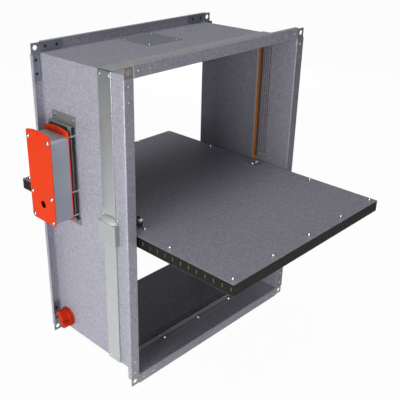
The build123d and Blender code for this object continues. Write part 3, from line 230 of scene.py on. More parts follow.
# %% [markdown]
# ## The lamps
# Soft boxes light the object, as on a photographer's table, because a sheet-metal box shows its form only
# where each face has its own tone. A large one stands on the left, where the mechanism is, and another
# hangs above, so that the left wall is the brightest face and the top and the blade come next. Two weak
# ones in front lift the flanges. A small one stands behind the right wall for the views from there, too low
# to shine on the blade's top, and no metal mirrors it. The last one hangs above and behind the camera and
# is seen as a mirror image only, which sets the white points on the screws and rivets.

# %% Hang the lamps
object_middle = (cad_box[0] + cad_box[1]) / 2


def soft_lamp(name, place, side, watts):
    """A square soft box that looks at the middle of the object."""
    bpy.ops.object.light_add(type="AREA", location=place)
    lamp = bpy.context.object
    lamp.name = name
    lamp.data.shape = "SQUARE"
    lamp.data.size = side
    lamp.data.energy = watts
    lamp.rotation_euler = (object_middle - Vector(place)).to_track_quat("-Z", "Y").to_euler()
    return lamp


soft_lamp("left_soft_box", (-3.3, -0.55, 0.25), 1.6, 117)
soft_lamp("top_soft_box", (-0.5, -0.2, 3.4), 2.4, 77)
soft_lamp("front_soft_box", (-0.9, -2.4, 2.9), 1.2, 6)
soft_lamp("flange_soft_box", (-1.6, -3.0, -0.1), 0.5, 13)
rear_lamp = soft_lamp("rear_soft_box", (2.6, 2.2, -0.2), 0.4, 40)
rear_lamp.visible_glossy = False
glint_lamp = soft_lamp("glint_soft_box", (-1.9, -2.3, 2.0), 1.8, 45)
glint_lamp.visible_diffuse = False

# %% [markdown]
# ## Galvanised sheet
# The casing is folded from hot-dip galvanised steel. The zinc freezes in small crystals, the spangle, so
# the surface is a mosaic of cells a few millimetres wide that differ a little in tone and in gloss, with
# a fine grain over it. A Voronoi texture gives the cells and two noises give the grain and the cloudy
# unevenness. The cells are drawn somewhat coarser than the real ones, so that they still show from where
# the camera stands. Much light is scattered in the frosty crystals, so the metal is only partly metallic.

# %% Make the spangled zinc finishes
spangle_size = 3.4
grain_size = spangle_size * 0.8
grain_share = 0.55
zinc_cloud_size = 90.0
zinc_cloud_share = 0.05
tone_window = (0.25, 0.75)
zinc_roughness = 0.48
zinc_gloss_spread = 0.06


def spangled_zinc(name, tone, shade, metallic):
    """Hot-dip zinc: cells of slightly different tone and gloss under a fine grain."""
    material, shader, place = new_finish(name)
    cells = add_node(material, "ShaderNodeTexVoronoi", {
        "Vector": place, "Scale": per_metre(spangle_size), "Randomness": 1.0})
    grain = add_node(material, "ShaderNodeTexNoise", {
        "Vector": place, "Scale": per_metre(grain_size), "Detail": 3.0, "Roughness": 0.7})
    cloud = add_node(material, "ShaderNodeTexNoise", {
        "Vector": place, "Scale": per_metre(zinc_cloud_size), "Detail": 2.0})
    cell_tone = add_node(material, "ShaderNodeSeparateColor", {"Color": cells.outputs["Color"]})
    half_mix = add_node(material, "ShaderNodeMix", {
        0: grain_share, 2: cell_tone.outputs[0], 3: grain.outputs[0]})
    full_mix = add_node(material, "ShaderNodeMix", {
        0: zinc_cloud_share, 2: half_mix.outputs[0], 3: cloud.outputs[0]})
    spread = add_node(material, "ShaderNodeMapRange", {
        "Value": full_mix.outputs[0], "From Min": tone_window[0], "From Max": tone_window[1]})
    colour = add_node(material, "ShaderNodeMix", {
        0: spread.outputs[0], 6: linear(shade), 7: linear(tone)}, data_type="RGBA")
    gloss = add_node(material, "ShaderNodeMapRange", {
        "Value": cell_tone.outputs[1], "To Min": zinc_roughness - zinc_gloss_spread,
        "To Max": zinc_roughness + zinc_gloss_spread})
    relief = add_node(material, "ShaderNodeBump", {
        "Height": full_mix.outputs[0], "Strength": 0.12, "Distance": 0.2 * MM})
    lead_in(material, shader, colour, gloss, relief)
    shader.inputs["Metallic"].default_value = metallic
    return material


# A pale grey with a breath of violet, speckled by the cells: the eye reads raw galvanised sheet.
casing_zinc = spangled_zinc("hot_dip_zinc_casing", "#ABAAB6", "#8D8C97", 0.35)
# Painted shade: the same sheet one tone darker, as the blade lies in the duct's shade.
shaded_blade_zinc = spangled_zinc("hot_dip_zinc_blade_shaded", "#9B9AA5", "#807F89", 0.35)
# Painted shade: the same sheet darker again for the right wall, whose inside lies in the shade behind the
# blade.
shaded_right_wall_zinc = spangled_zinc("hot_dip_zinc_right_wall_shaded", "#8F8E97", "#73727C", 0.35)
# The underside of the blade in its own shade, so that its rim hardly shows under the black band.
lower_skin_zinc = spangled_zinc("hot_dip_zinc_lower_skin", "#46454C", "#393840", 0.25)
print("zinc finishes ready")

# %% [markdown]
# ## Smooth rolled zinc
# The cover strips, the bearing covers, the bracket, the stops, the patch and the drive housing are made of
# thinner, skin-passed sheet. It has no spangle: the rolls leave faint lines along the sheet and a silkier
# gloss that mirrors its neighbours. A noise stretched along the sheet's length draws the lines. The real
# lines are finer than a pixel, so they are drawn about 2 mm apart.

# %% A finish for rolled sheet
rolled_line_size = 2.0
rolled_cloud_size = 45.0
rolled_gloss_spread = 0.05


def rolled_zinc(name, tone, shade, line_mm, stretch, roughness, metallic):
    """Smooth sheet with faint rolling lines. Stretch is the scale along each axis."""
    material, shader, place = new_finish(name)
    along = add_node(material, "ShaderNodeMapping", {"Vector": place, "Scale": stretch})
    lines = add_node(material, "ShaderNodeTexNoise", {
        "Vector": along.outputs[0], "Scale": per_metre(line_mm), "Detail": 4.0, "Roughness": 0.6})
    cloud = add_node(material, "ShaderNodeTexNoise", {
        "Vector": place, "Scale": per_metre(rolled_cloud_size), "Detail": 2.0})
    uneven = add_node(material, "ShaderNodeMix", {0: 0.5, 2: lines.outputs[0], 3: cloud.outputs[0]})
    colour = add_node(material, "ShaderNodeMix", {
        0: uneven.outputs[0], 6: linear(shade), 7: linear(tone)}, data_type="RGBA")
    gloss = add_node(material, "ShaderNodeMapRange", {
        "Value": uneven.outputs[0], "To Min": roughness - rolled_gloss_spread,
        "To Max": roughness + rolled_gloss_spread})
    relief = add_node(material, "ShaderNodeBump", {
        "Height": lines.outputs[0], "Strength": 0.06, "Distance": 0.1 * MM})
    lead_in(material, shader, colour, gloss, relief)
    shader.inputs["Metallic"].default_value = metallic
    return material


print("lines", rolled_line_size, "mm apart, clouds of", rolled_cloud_size, "mm")

# %% [markdown]
# ## The rolled pieces
# Each piece comes from another coil and lies at another angle to the light, and each has its own tone,
# gloss and share of metal, matched to what the eye sees on it there, so the tones hold painted light and
# shade besides the metal's own colour. The lines run along the piece, which the stretch gives as a small
# scale on that axis. The corner plates are stamped and plated steel, which has the same look without a
# rolling direction.

# %% Make the rolled zinc finishes
along_x = (0.03, 1, 1)
along_y = (1, 0.03, 1)
along_z = (1, 1, 0.03)
all_ways = (1, 1, 1)
plated_mark_size = 3.0
# Nearly a mirror: the strip is pale at its foot, where it mirrors the floor's painted glow, and greyer
# above.
strip_zinc = rolled_zinc(
    "skin_passed_zinc_strip", "#CCD0CF", "#BEC3C2", rolled_line_size, along_z, 0.22, 0.95)
# Seen flat from above, it is a duller, faintly green grey.
top_strip_zinc = rolled_zinc(
    "skin_passed_zinc_top_strip", "#B4B8B6", "#A2A6A4", rolled_line_size, along_x, 0.45, 0.4)
# A soft blue-grey sheen that takes a little orange from the cover plates beside it.
housing_zinc = rolled_zinc(
    "skin_passed_zinc_housing", "#A9AFB8", "#979DA7", rolled_line_size, along_z, 0.34, 0.6)
# Painted shade: duller and darker, as the bracket lies in the shadow behind the mechanism.
shaded_bracket_zinc = rolled_zinc(
    "skin_passed_zinc_bracket_shaded", "#787A76", "#6A6C68", rolled_line_size, along_y, 0.38, 0.25)
# A flat, even grey that the eye tells from the speckled top wall.
patch_zinc = rolled_zinc(
    "skin_passed_zinc_patch", "#9A9DA1", "#8A8E92", rolled_line_size, along_y, 0.40, 0.5)
# A matt light grey, which shows the folded stops in the dark duct.
stop_zinc = rolled_zinc(
    "skin_passed_zinc_stop", "#9EA3A4", "#8A8F90", rolled_line_size, along_z, 0.40, 0.3)
# Satin from the press tool: a broad soft light on the hood in place of a sharp one.
cover_zinc = rolled_zinc(
    "pressed_zinc_cover", "#9EA2A1", "#919594", rolled_line_size, along_z, 0.52, 0.15)
# Warm beige grey of passivated plating on the front corners.
corner_steel = rolled_zinc(
    "plated_corner_steel", "#A89E97", "#8C827B", plated_mark_size, all_ways, 0.40, 0.6)
# Cooler and bluer plating on the rear corners.
dark_corner_steel = rolled_zinc(
    "blued_corner_steel", "#868B95", "#70757F", plated_mark_size, all_ways, 0.38, 0.45)
print("rolled finishes ready")

# %% [markdown]
# ## Bright and dark metals
# Screws and rivets are zinc plated and polished by tumbling, so they carry small sharp highlights. Shafts
# and levers are turned or stamped steel, the crank and the link are black oxide, the bushes and the fuse
# holder bronze and the fuse link bare brass. All of them show fine tool marks and a slightly uneven gloss,
# so one function with other values serves them all. The marks are drawn 2 to 4 mm wide, coarser than real
# ones, which would vanish at this distance.

# %% Make the machined metals
mark_gloss_below = 0.05
mark_gloss_above = 0.07


def machined_metal(name, tone, shade, mark_mm, roughness, metallic=1.0):
    """Metal with fine uneven marks in tone and gloss."""
    material, shader, place = new_finish(name)
    marks = add_node(material, "ShaderNodeTexNoise", {
        "Vector": place, "Scale": per_metre(mark_mm), "Detail": 5.0, "Roughness": 0.65})
    colour = add_node(material, "ShaderNodeMix", {
        0: marks.outputs[0], 6: linear(shade), 7: linear(tone)}, data_type="RGBA")
    gloss = add_node(material, "ShaderNodeMapRange", {
        "Value": marks.outputs[0], "To Min": roughness - mark_gloss_below,
        "To Max": roughness + mark_gloss_above})
    relief = add_node(material, "ShaderNodeBump", {
        "Height": marks.outputs[0], "Strength": 0.05, "Distance": 0.1 * MM})
    lead_in(material, shader, colour, gloss, relief)
    shader.inputs["Metallic"].default_value = metallic
    return material


# Blue-white plate: a hard white point with dark sides on each head.
screw_zinc = machined_metal("bright_zinc_plate", "#C8CED4", "#A8AEB4", 3.0, 0.18)
# The same plate, darker and rougher, so that the casing's small screws stay quiet.
dull_screw_zinc = machined_metal("darker_rougher_zinc_plate", "#A4AAB0", "#868C92", 3.0, 0.26)
# Painted highlight: nearly white, for the heads inside the dark duct, so that they show as bright points.
painted_highlight_zinc = machined_metal("white_zinc_plate", "#F4F6F8", "#DCE0E4", 3.0, 0.24)
# Yellowish plate of the rivets on the front flange's face, seen as beige dots.
rivet_zinc = machined_metal("dull_zinc_rivet", "#D6CABC", "#B4A898", 2.0, 0.34)
# Brown rivet heads darkened with painted shade: dark dots on the rear corner plates.
shaded_brown_rivet = machined_metal("brown_rivet_painted_shade", "#5A4338", "#3A2A22", 2.0, 0.30)
# Plain grey steel with a soft highlight along each shaft.
turned_steel = machined_metal("turned_steel", "#B8B8BA", "#8E8E92", 2.0, 0.30)
# Mirror-bright plate: the bracket on the blade mirrors the dark duct, so it looks nearly black.
plate_steel = machined_metal("polished_steel_plate", "#D0D0D2", "#B0B0B2", 2.0, 0.20, 0.95)
# As grey as the blade that the plates lie on, only smoother.
dull_plate_steel = machined_metal("rolled_steel_plate", "#87868D", "#74737A", 2.0, 0.42, 0.3)
# Soft black with a faint sheen.
black_oxide = machined_metal("black_oxide_steel", "#2A2A2C", "#18181A", 4.0, 0.38, 0.6)
# Blue-grey wire with narrow highlights.
spring_steel = machined_metal("blued_spring_steel", "#5A5E66", "#3A3D44", 3.0, 0.28)
# Warm brown metal that tells a bush from a steel shaft.
bronze = machined_metal("bearing_bronze", "#B48A50", "#8E6A3A", 2.0, 0.35)
# Yellow and bright, the only brass on the object.
fuse_brass = machined_metal("bare_brass", "#D8B060", "#B08840", 2.5, 0.28)
print("machined finishes ready")

# %% [markdown]
# ## Paint, plastic, rubber and the brown strips
# The two cover plates are powder coated signal orange, which flows out to a fine orange peel. The port
# cap is moulded in a slightly redder ABS. The blade's edge bands are black enamel on slotted sheet, and
# the slots show the brown intumescent strip, a graphite mat with a coarse, matt surface. The smoke seals
# are dark grey rubber, the pad under the mechanism is black foam, whose black also paints the shade of the
# deep gap behind the mechanism, and the blade's core is pale calcium silicate board. All of them are a tone
# with a grain over it, so one function makes them, and the grain's size and relief tell them apart. The
# grain is drawn 1 to 2 mm wide, coarser than the real one, so that it shows.

# %% Make the coated and soft finishes
cloud_in_grains = 25
cloud_share = 0.4
coat_gloss_spread = 0.05


def textured_coat(name, tone, shade, grain_mm, roughness, relief_mm, specular):
    """Non-metal surface with a grain of that size, both as tone and as relief."""
    material, shader, place = new_finish(name)
    grain = add_node(material, "ShaderNodeTexNoise", {
        "Vector": place, "Scale": per_metre(grain_mm), "Detail": 3.0, "Roughness": 0.6})
    cloud = add_node(material, "ShaderNodeTexNoise", {
        "Vector": place, "Scale": per_metre(grain_mm * cloud_in_grains), "Detail": 2.0})
    uneven = add_node(material, "ShaderNodeMix", {
        0: cloud_share, 2: grain.outputs[0], 3: cloud.outputs[0]})
    colour = add_node(material, "ShaderNodeMix", {
        0: uneven.outputs[0], 6: linear(shade), 7: linear(tone)}, data_type="RGBA")
    gloss = add_node(material, "ShaderNodeMapRange", {
        "Value": cloud.outputs[0], "To Min": roughness - coat_gloss_spread,
        "To Max": roughness + coat_gloss_spread})
    relief = add_node(material, "ShaderNodeBump", {
        "Height": grain.outputs[0], "Strength": 0.3, "Distance": relief_mm * MM})
    lead_in(material, shader, colour, gloss, relief)
    shader.inputs["Specular IOR Level"].default_value = specular
    return material


# Satin orange with a fine peel: full colour and hardly any mirror image.
orange_coat = textured_coat("orange_powder_coat", "#CE3C16", "#C43210", 1.2, 0.45, 0.05, 0.08)
# Redder and deeper than the coat, as dyed plastic is.
orange_plastic = textured_coat("moulded_orange_abs", "#BA2C0A", "#A62207", 1.0, 0.45, 0.03, 0.08)
# Black that swallows the light, so that the slots stand out.
black_enamel = textured_coat("black_enamel", "#100F0E", "#0A0908", 1.0, 0.45, 0.04, 0.18)
# Olive mat behind the blade's slots, seen as a row of yellowish ticks.
edge_brown = textured_coat("olive_graphite_strip", "#7A6C44", "#5C5032", 1.6, 0.85, 0.3, 0.2)
# The warm brown line that runs round the inside of the duct.
brown_strip = textured_coat("graphite_intumescent_strip", "#C8742A", "#9C5018", 1.6, 0.85, 0.3, 0.2)
# Dark brown behind the wall slots.
slot_brown = textured_coat("brown_slot_lining", "#5A3C22", "#3E2412", 1.6, 0.85, 0.3, 0.2)
# Matt black foam, whose black also paints the shade of the deep gap behind the mechanism.
foam_and_gap_shade = textured_coat("black_foam_rubber", "#141414", "#0A0A0A", 1.5, 0.80, 0.2, 0.3)
# Dark grey lip, a little lighter than the foam.
seal_rubber = textured_coat("dark_seal_rubber", "#4A4846", "#3A3836", 1.5, 0.80, 0.2, 0.3)
# Chalky and pale.
silicate_board = textured_coat("calcium_silicate_board", "#D6D0C2", "#C2BBAC", 2.0, 0.9, 0.2, 0.2)
print("coated finishes ready")

# %% [markdown]
# ## Dress the nodes
# Each node of the frame gets its finish by name, in one table, so that a look can be changed in one place.
# Nothing is moved here.

# %% Give every node its finish
finish_of = {}
for finish, names in {
    casing_zinc: ["casing_top", "casing_bottom", "casing_left"],
    shaded_right_wall_zinc: ["casing_right"],
    stop_zinc: ["stop_top", "stop_bottom", "stop_upper_left", "stop_upper_right", "stop_lower_left",
                "stop_lower_right"],
    top_strip_zinc: ["cover_strip_top", "cover_strip_bottom"],
    strip_zinc: ["cover_strips_left", "cover_strips_right"],
    cover_zinc: ["pivot_cover_left", "pivot_cover_right"],
    housing_zinc: ["mechanism_housing"],
    shaded_bracket_zinc: ["mounting_bracket"],
    patch_zinc: ["top_patch_plate"],
    shaded_blade_zinc: ["blade_top_skin"],
    lower_skin_zinc: ["blade_bottom_skin"],
    corner_steel: ["front_corner_plates"],
    dark_corner_steel: ["rear_corner_plates"],
    screw_zinc: ["blade_screws", "mechanism_screws", "cover_rivets"],
    dull_screw_zinc: ["casing_screws"],
    painted_highlight_zinc: ["shaft_plate_screws"],
    rivet_zinc: ["flange_rivets"],
    turned_steel: ["stub_shaft_left", "stub_shaft_right", "drive_shaft", "release_plunger", "latch_lever"],
    plate_steel: ["drive_bracket"],
    dull_plate_steel: ["shaft_plate_left", "shaft_plate_right"],
    spring_steel: ["closing_spring"],
    black_oxide: ["crank_arm", "link_rod"],
    bronze: ["pivot_bush_left", "pivot_bush_right", "drive_shaft_bush", "fuse_holder"],
    fuse_brass: ["fuse_link_fixed_half", "fuse_link_moving_half"],
    silicate_board: ["blade_core"],
    black_enamel: ["blade_edge_front", "blade_edge_rear", "blade_edge_left", "blade_edge_right"],
    edge_brown: ["blade_edge_intumescent"],
    slot_brown: ["slot_linings"],
    brown_strip: ["intumescent_seals"],
    seal_rubber: ["smoke_seals"],
    foam_and_gap_shade: ["insulating_pad"],
    orange_coat: ["front_cover_plate", "rear_cover_plate"],
    orange_plastic: ["inspection_port_collar", "port_cap"],
}.items():
    for name in names:
        finish_of[name] = finish
        for material_slot in nodes[name].material_slots:
            material_slot.material = finish
print("nodes without a finish:", sorted(set(nodes) - set(finish_of)))

# %% [markdown]
# ## A copy to work on
# A node's own mesh stays as it is, so every change of shape starts from a copy. The copy's loose triangles
# are merged and its flat faces joined again, which leaves only the edges that the real piece has.

# %% Copy a node's mesh
same_place = 0.002 * MM
same_plane = 0.5


def deselect_all():
    """Leave nothing selected, since an operator acts on all that is selected."""
    bpy.ops.object.select_all(action="DESELECT")


def merged_copy(name, label):
    """A copy of a node's mesh with its loose triangles joined into whole faces."""
    piece = bpy.data.objects.new(label, nodes[name].data.copy())
    bpy.context.collection.objects.link(piece)
    deselect_all()
    bpy.context.view_layer.objects.active = piece
    piece.select_set(True)
    bpy.ops.object.mode_set(mode="EDIT")
    bpy.ops.mesh.select_all(action="SELECT")
    bpy.ops.mesh.remove_doubles(threshold=same_place)
    bpy.ops.mesh.dissolve_limited(angle_limit=radians(same_plane))
    bpy.ops.object.mode_set(mode="OBJECT")
    return piece


print("corners closer than", same_place / MM, "mm are one")

# %% [markdown]
# ## Shading and handing over
# Metal sheet is flat with rounded edges, so shading is smooth across the eased edges only. Normals are
# weighted by face size, or a wide sheet would show faint triangles from its corners. The finished copy
# takes the node's finish and body, and stands for it.

# %% Smooth a piece and hand it over
smooth_limit = 35


def smooth(piece):
    """Shade a piece smooth, except across sharp edges, and keep its large flat faces flat."""
    deselect_all()
    bpy.context.view_layer.objects.active = piece
    piece.select_set(True)
    bpy.ops.object.shade_smooth_by_angle(angle=radians(smooth_limit))
    weighted = piece.modifiers.new("weighted_normals", "WEIGHTED_NORMAL")
    weighted.keep_sharp = True
    weighted.weight = 100
    bpy.ops.object.modifier_apply(modifier=weighted.name)
    piece.select_set(False)


def stand_for(piece, name):
    """The piece takes the finish and the body of a node, and is shown in its place."""
    piece.data.materials.clear()
    piece.data.materials.append(finish_of[name])
    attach(piece, body_of_node[name])
    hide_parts(name)


print("smooth up to", smooth_limit, "degrees")

# %% [markdown]
# ## Edges that catch the light
# Cut and folded sheet is never razor sharp: the die eases its edges by a few tenths of a millimetre, and
# a moulded or cast edge is rounder still. A thin bright line runs along each of them, which a Bevel
# modifier on the copy gives.

# %% Ease the edges of sheet and moulded pieces
sheet_ease = 0.35
moulded_ease = 0.8
sharp_edge = 50


def bevel_edges(piece, edge_mm):
    """Round the sharp edges of the active piece by edge_mm."""
    bevel = piece.modifiers.new("eased_edge", "BEVEL")
    bevel.width = edge_mm * MM
    bevel.segments = 2
    bevel.limit_method = "ANGLE"
    bevel.angle_limit = radians(sharp_edge)
    bevel.use_clamp_overlap = True
    bpy.ops.object.modifier_apply(modifier=bevel.name)


def ease_edges(name, edge_mm, piece=None):
    """Round the sharp edges of one node by edge_mm and put the copy in the node's place."""
    piece = piece or merged_copy(name, f"{name}_eased")
    bevel_edges(piece, edge_mm)
    smooth(piece)
    stand_for(piece, name)
    return piece


eased = {name: sheet_ease for name in (
    "casing_top", "casing_bottom", "casing_left", "casing_right", "cover_strip_top", "cover_strip_bottom",
    "cover_strips_left", "cover_strips_right", "mechanism_housing", "mounting_bracket",
    "front_cover_plate", "rear_cover_plate", "front_corner_plates", "rear_corner_plates", "stop_top",
    "stop_bottom", "stop_upper_left", "stop_upper_right", "stop_lower_left", "stop_lower_right",
    "drive_bracket", "shaft_plate_left", "shaft_plate_right", "top_patch_plate")}
eased.update({name: moulded_ease for name in ("inspection_port_collar", "crank_arm", "link_rod")})
for name, edge_mm in eased.items():
    piece = ease_edges(name, edge_mm)
    print(piece.name, len(nodes[name].data.polygons), "->", len(piece.data.polygons), "faces")

# %% [markdown]
# ## The hood of the bearing covers
# The cover over each blade bearing is pressed in one stroke from thin sheet: a shallow box below, and above
# it a hood that bulges out of the wall like a quarter of an egg. The frame has a plain half-round form
# there. On the copy those faces are chosen by their place and deleted, and the opening is closed.

# %% Open the plain cover
pivot_cover_rise = 22.0
pivot_cover_sheet = 1.2
tab_margin = 1.05
hair_width = 0.1 * MM


def face_choice(piece, wanted):
    """Enter edit mode with only those faces selected whose centre and normal are wanted."""
    bpy.ops.object.mode_set(mode="OBJECT")
    for part in (piece.data.vertices, piece.data.edges, piece.data.polygons):
        for item in part:
            item.select = False
    for face in piece.data.polygons:
        face.select = wanted(face.center, face.normal)
    bpy.ops.object.mode_set(mode="EDIT")
    bpy.ops.mesh.select_mode(type="FACE")


def open_cover(name, wall, outward):
    """A copy of the cover without its half-round part, closed again and with eased edges."""
    piece = merged_copy(name, f"{name}_pressed")
    # A tab of plain sheet lies flat on the wall and stays, so only faces in front of it are chosen.
    tab_face = pivot_cover_sheet * MM * tab_margin
    face_choice(piece, lambda centre, normal: (
        centre.z > pivot_cover_rise * MM + hair_width and outward * (centre.x - wall) > tab_face))
    bpy.ops.mesh.delete(type="FACE")
    bpy.ops.mesh.select_all(action="DESELECT")
    bpy.ops.mesh.select_mode(type="EDGE")
    bpy.ops.mesh.select_non_manifold()
    bpy.ops.mesh.fill_holes(sides=0)
    bpy.ops.object.mode_set(mode="OBJECT")
    bevel_edges(piece, sheet_ease)
    return piece


print("the hood starts", pivot_cover_rise, "mm above the bearing's axis")

# %% [markdown]
# ## The dome of the hood
# A drawn dome has no edge except at its foot, and a sphere gives that form at once. It is stretched to the
# hood's reach, cut by the wall and by the top of the box, and joined to the opened cover.

# %% Press the hoods
hood_reach = Vector((16.2, 31.0, 17.0)) * MM


def quarter_dome(seat, outward):
    """The part of a stretched sphere that lies above the seat and outside the wall."""
    deselect_all()
    bpy.ops.mesh.primitive_uv_sphere_add(segments=48, ring_count=24, radius=1.0)
    dome = bpy.context.object
    dome.data.transform(Matrix.Translation(seat) @ Matrix.Diagonal((*hood_reach, 1)))
    bpy.ops.object.mode_set(mode="EDIT")
    for plane_no in ((0, 0, -1), (-outward, 0, 0)):
        bpy.ops.mesh.select_all(action="SELECT")
        bpy.ops.mesh.bisect(plane_co=seat, plane_no=plane_no, use_fill=True, clear_outer=True)
    bpy.ops.mesh.select_all(action="SELECT")
    bpy.ops.mesh.normals_make_consistent(inside=False)
    bpy.ops.object.mode_set(mode="OBJECT")
    return dome


def press_hood(name):
    """The bearing cover with a domed hood in place of the plain half-round one."""
    low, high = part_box(name)
    outward = -1 if high.x < 0 else 1
    wall = high.x if outward < 0 else low.x
    piece = open_cover(name, wall, outward)
    hood = quarter_dome((wall, (low.y + high.y) / 2, pivot_cover_rise * MM), outward)
    piece.select_set(True)
    hood.select_set(True)
    bpy.context.view_layer.objects.active = piece
    bpy.ops.object.join()
    piece.select_set(False)
    smooth(piece)
    stand_for(piece, name)
    return piece


for name in ("pivot_cover_left", "pivot_cover_right"):
    piece = press_hood(name)
    print(piece.name, len(piece.data.polygons), "faces")

# %% [markdown]
# ## The cap of the inspection port
# The cap is moulded with a thin wall, so its face is hollow between the rim and the grip that fingers turn
# it by. The frame has a full disc with the grip on it. The disc's face is inset by the rim's width and
# pushed in, which leaves the rim and the grip standing.

# %% Hollow the port cap
cap_grip_height = 18.0
port_cap_recess = 5.0
port_cap_rim = 3.5
cap_ease = 0.5


def hollow_cap(name):
    """The port cap with the recess between its rim and its grip."""
    low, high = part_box(name)
    disc_face = low.x + cap_grip_height * MM
    piece = merged_copy(name, f"{name}_hollowed")
    face_choice(piece, lambda centre, normal: (
        abs(centre.x - disc_face) < 3 * hair_width and normal.x < -0.9))
    bpy.ops.mesh.inset(thickness=port_cap_rim * MM, use_boundary=True)
    bpy.ops.transform.translate(value=(port_cap_recess * MM, 0, 0))
    bpy.ops.object.mode_set(mode="OBJECT")
    return piece


cap = ease_edges("port_cap", cap_ease, piece=hollow_cap("port_cap"))
print(cap.name, len(cap.data.polygons), "faces")

# %% [markdown]
# ## Turned shapes
# Screw and rivet heads are domed: a pan-head screw has a short straight side, a dome and a recess for the
# driver, and a blind rivet has a flatter dome with the dimple of its pulled pin. Both are turned shapes, so
# one disc is extruded and scaled along an outline.

# %% Turn a piece from its outline
recess_taper = 0.8


def dome_outline(radius, height, side, recess_radius, recess_depth, steps=4):
    """Outline of a domed head with a recess, as (radius, height) pairs from the rim inwards."""
    outline = [(radius, 0.0)]
    for step in range(steps + 1):
        turn = pi / 2 * step / steps
        outline.append((
            recess_radius + (radius - recess_radius) * cos(turn),
            side + (height - side) * sin(turn),
        ))
    outline.append((recess_radius * recess_taper, height - recess_depth))
    return outline


def turned_piece(label, outline, sides):
    """A round piece standing on Z = 0: one disc, extruded and scaled along the outline."""
    deselect_all()
    bpy.ops.mesh.primitive_circle_add(vertices=sides, radius=outline[0][0] * MM, fill_type="NGON")
    piece = bpy.context.object
    piece.name = label
    bpy.ops.object.mode_set(mode="EDIT")
    bpy.ops.mesh.select_all(action="SELECT")
    for (radius, height), (next_radius, next_height) in zip(outline, outline[1:]):
        bpy.ops.mesh.extrude_region_move(
            TRANSFORM_OT_translate={"value": (0, 0, (next_height - height) * MM)})
        share = next_radius / radius
        bpy.ops.transform.resize(value=(share, share, 1))
    bpy.ops.mesh.select_all(action="SELECT")
    bpy.ops.mesh.normals_make_consistent(inside=False)
    bpy.ops.object.mode_set(mode="OBJECT")
    smooth(piece)
    return piece


print("a head's outline:", [(round(r, 1), round(h, 1)) for r, h in dome_outline(4.0, 2.4, 0.7, 1.3, 1.2)])

# %% [markdown]
# ## The places of the fasteners
# One node holds all fasteners of a kind, so its mesh is first parted into its separate solids. Each solid
# then tells where its head sits, which way it faces and how large it is: the seat is the end with the
# wider outline.

# %% Find the seats
end_slack = 0.05 * MM


def group_of(group, vertex):
    """The vertex that stands for the whole connected group of a vertex."""
    while group[vertex] != vertex:
        group[vertex] = group[group[vertex]]
        vertex = group[vertex]
    return vertex


def loose_solids(name):
    """Corners of each separate solid of a node, as lists of points."""
    piece = merged_copy(name, "scratch_copy")
    mesh = piece.data
    group = list(range(len(mesh.vertices)))
    for edge in mesh.edges:
        first, second = (group_of(group, vertex) for vertex in edge.vertices)
        group[first] = second
    solids = {}
    for vertex in mesh.vertices:
        solids.setdefault(group_of(group, vertex.index), []).append(vertex.co.copy())
    bpy.data.objects.remove(piece)
    return list(solids.values())


def corner_box(points):
    """The lowest and the highest corner of a list of points."""
    low = Vector([min(point[axis] for point in points) for axis in range(3)])
    high = Vector([max(point[axis] for point in points) for axis in range(3)])
    return low, high


def seat_of(points):
    """Where a head sits, which way it faces, and its radius and height, from its corners."""
    low, high = corner_box(points)
    size = high - low
    axis = min(range(3), key=lambda index: size[index])
    middle = (low + high) / 2
    reach = {}
    for end in (low[axis], high[axis]):
        at_end = [point for point in points if abs(point[axis] - end) < end_slack]
        reach[end] = max((point - middle).length for point in at_end)
    base = max(reach, key=reach.get)
    facing = Vector((0, 0, 0))
    facing[axis] = 1.0 if base == low[axis] else -1.0
    seat = middle.copy()
    seat[axis] = base
    return seat, facing, max(size) / 2, size[axis]


print("blade screws:", len(loose_solids("blade_screws")))

# %% [markdown]
# ## One head, many places
# Fasteners of a kind come out of one tool, so a head is turned once and its mesh is copied to every seat,
# with its axis turned to where the seat faces. The copies are joined to one piece.

# %% Copy a head to its seats


def copies_at(label, master, places):
    """One piece that holds a copy of the master at each seat, its Z turned to the facing."""
    deselect_all()
    copies = []
    for seat, facing in places:
        copy = bpy.data.objects.new(label, master.data.copy())
        turn = facing.to_track_quat("Z", "Y").to_matrix().to_4x4()
        copy.data.transform(Matrix.Translation(seat) @ turn)
        bpy.context.collection.objects.link(copy)
        copy.select_set(True)
        copies.append(copy)
    bpy.context.view_layer.objects.active = copies[0]
    bpy.ops.object.join()
    piece = bpy.context.object
    piece.name = label
    piece.select_set(False)
    return piece


print("flange rivets:", len(loose_solids("flange_rivets")))

# %% [markdown]
# ## Screws and rivets
# The frame holds a low faceted head where each fastener sits, and heads of one size share one turned
# master. The blade's screws have tall domes, which stand out from the flat skin as white points. The rivet
# heads on the front flange's face are plated, and all that lie behind that face, such as the larger ones of
# the rear flange, are brown and darkened with painted shade. The large screws of the top and bottom stops
# are painted nearly white, a painted highlight.

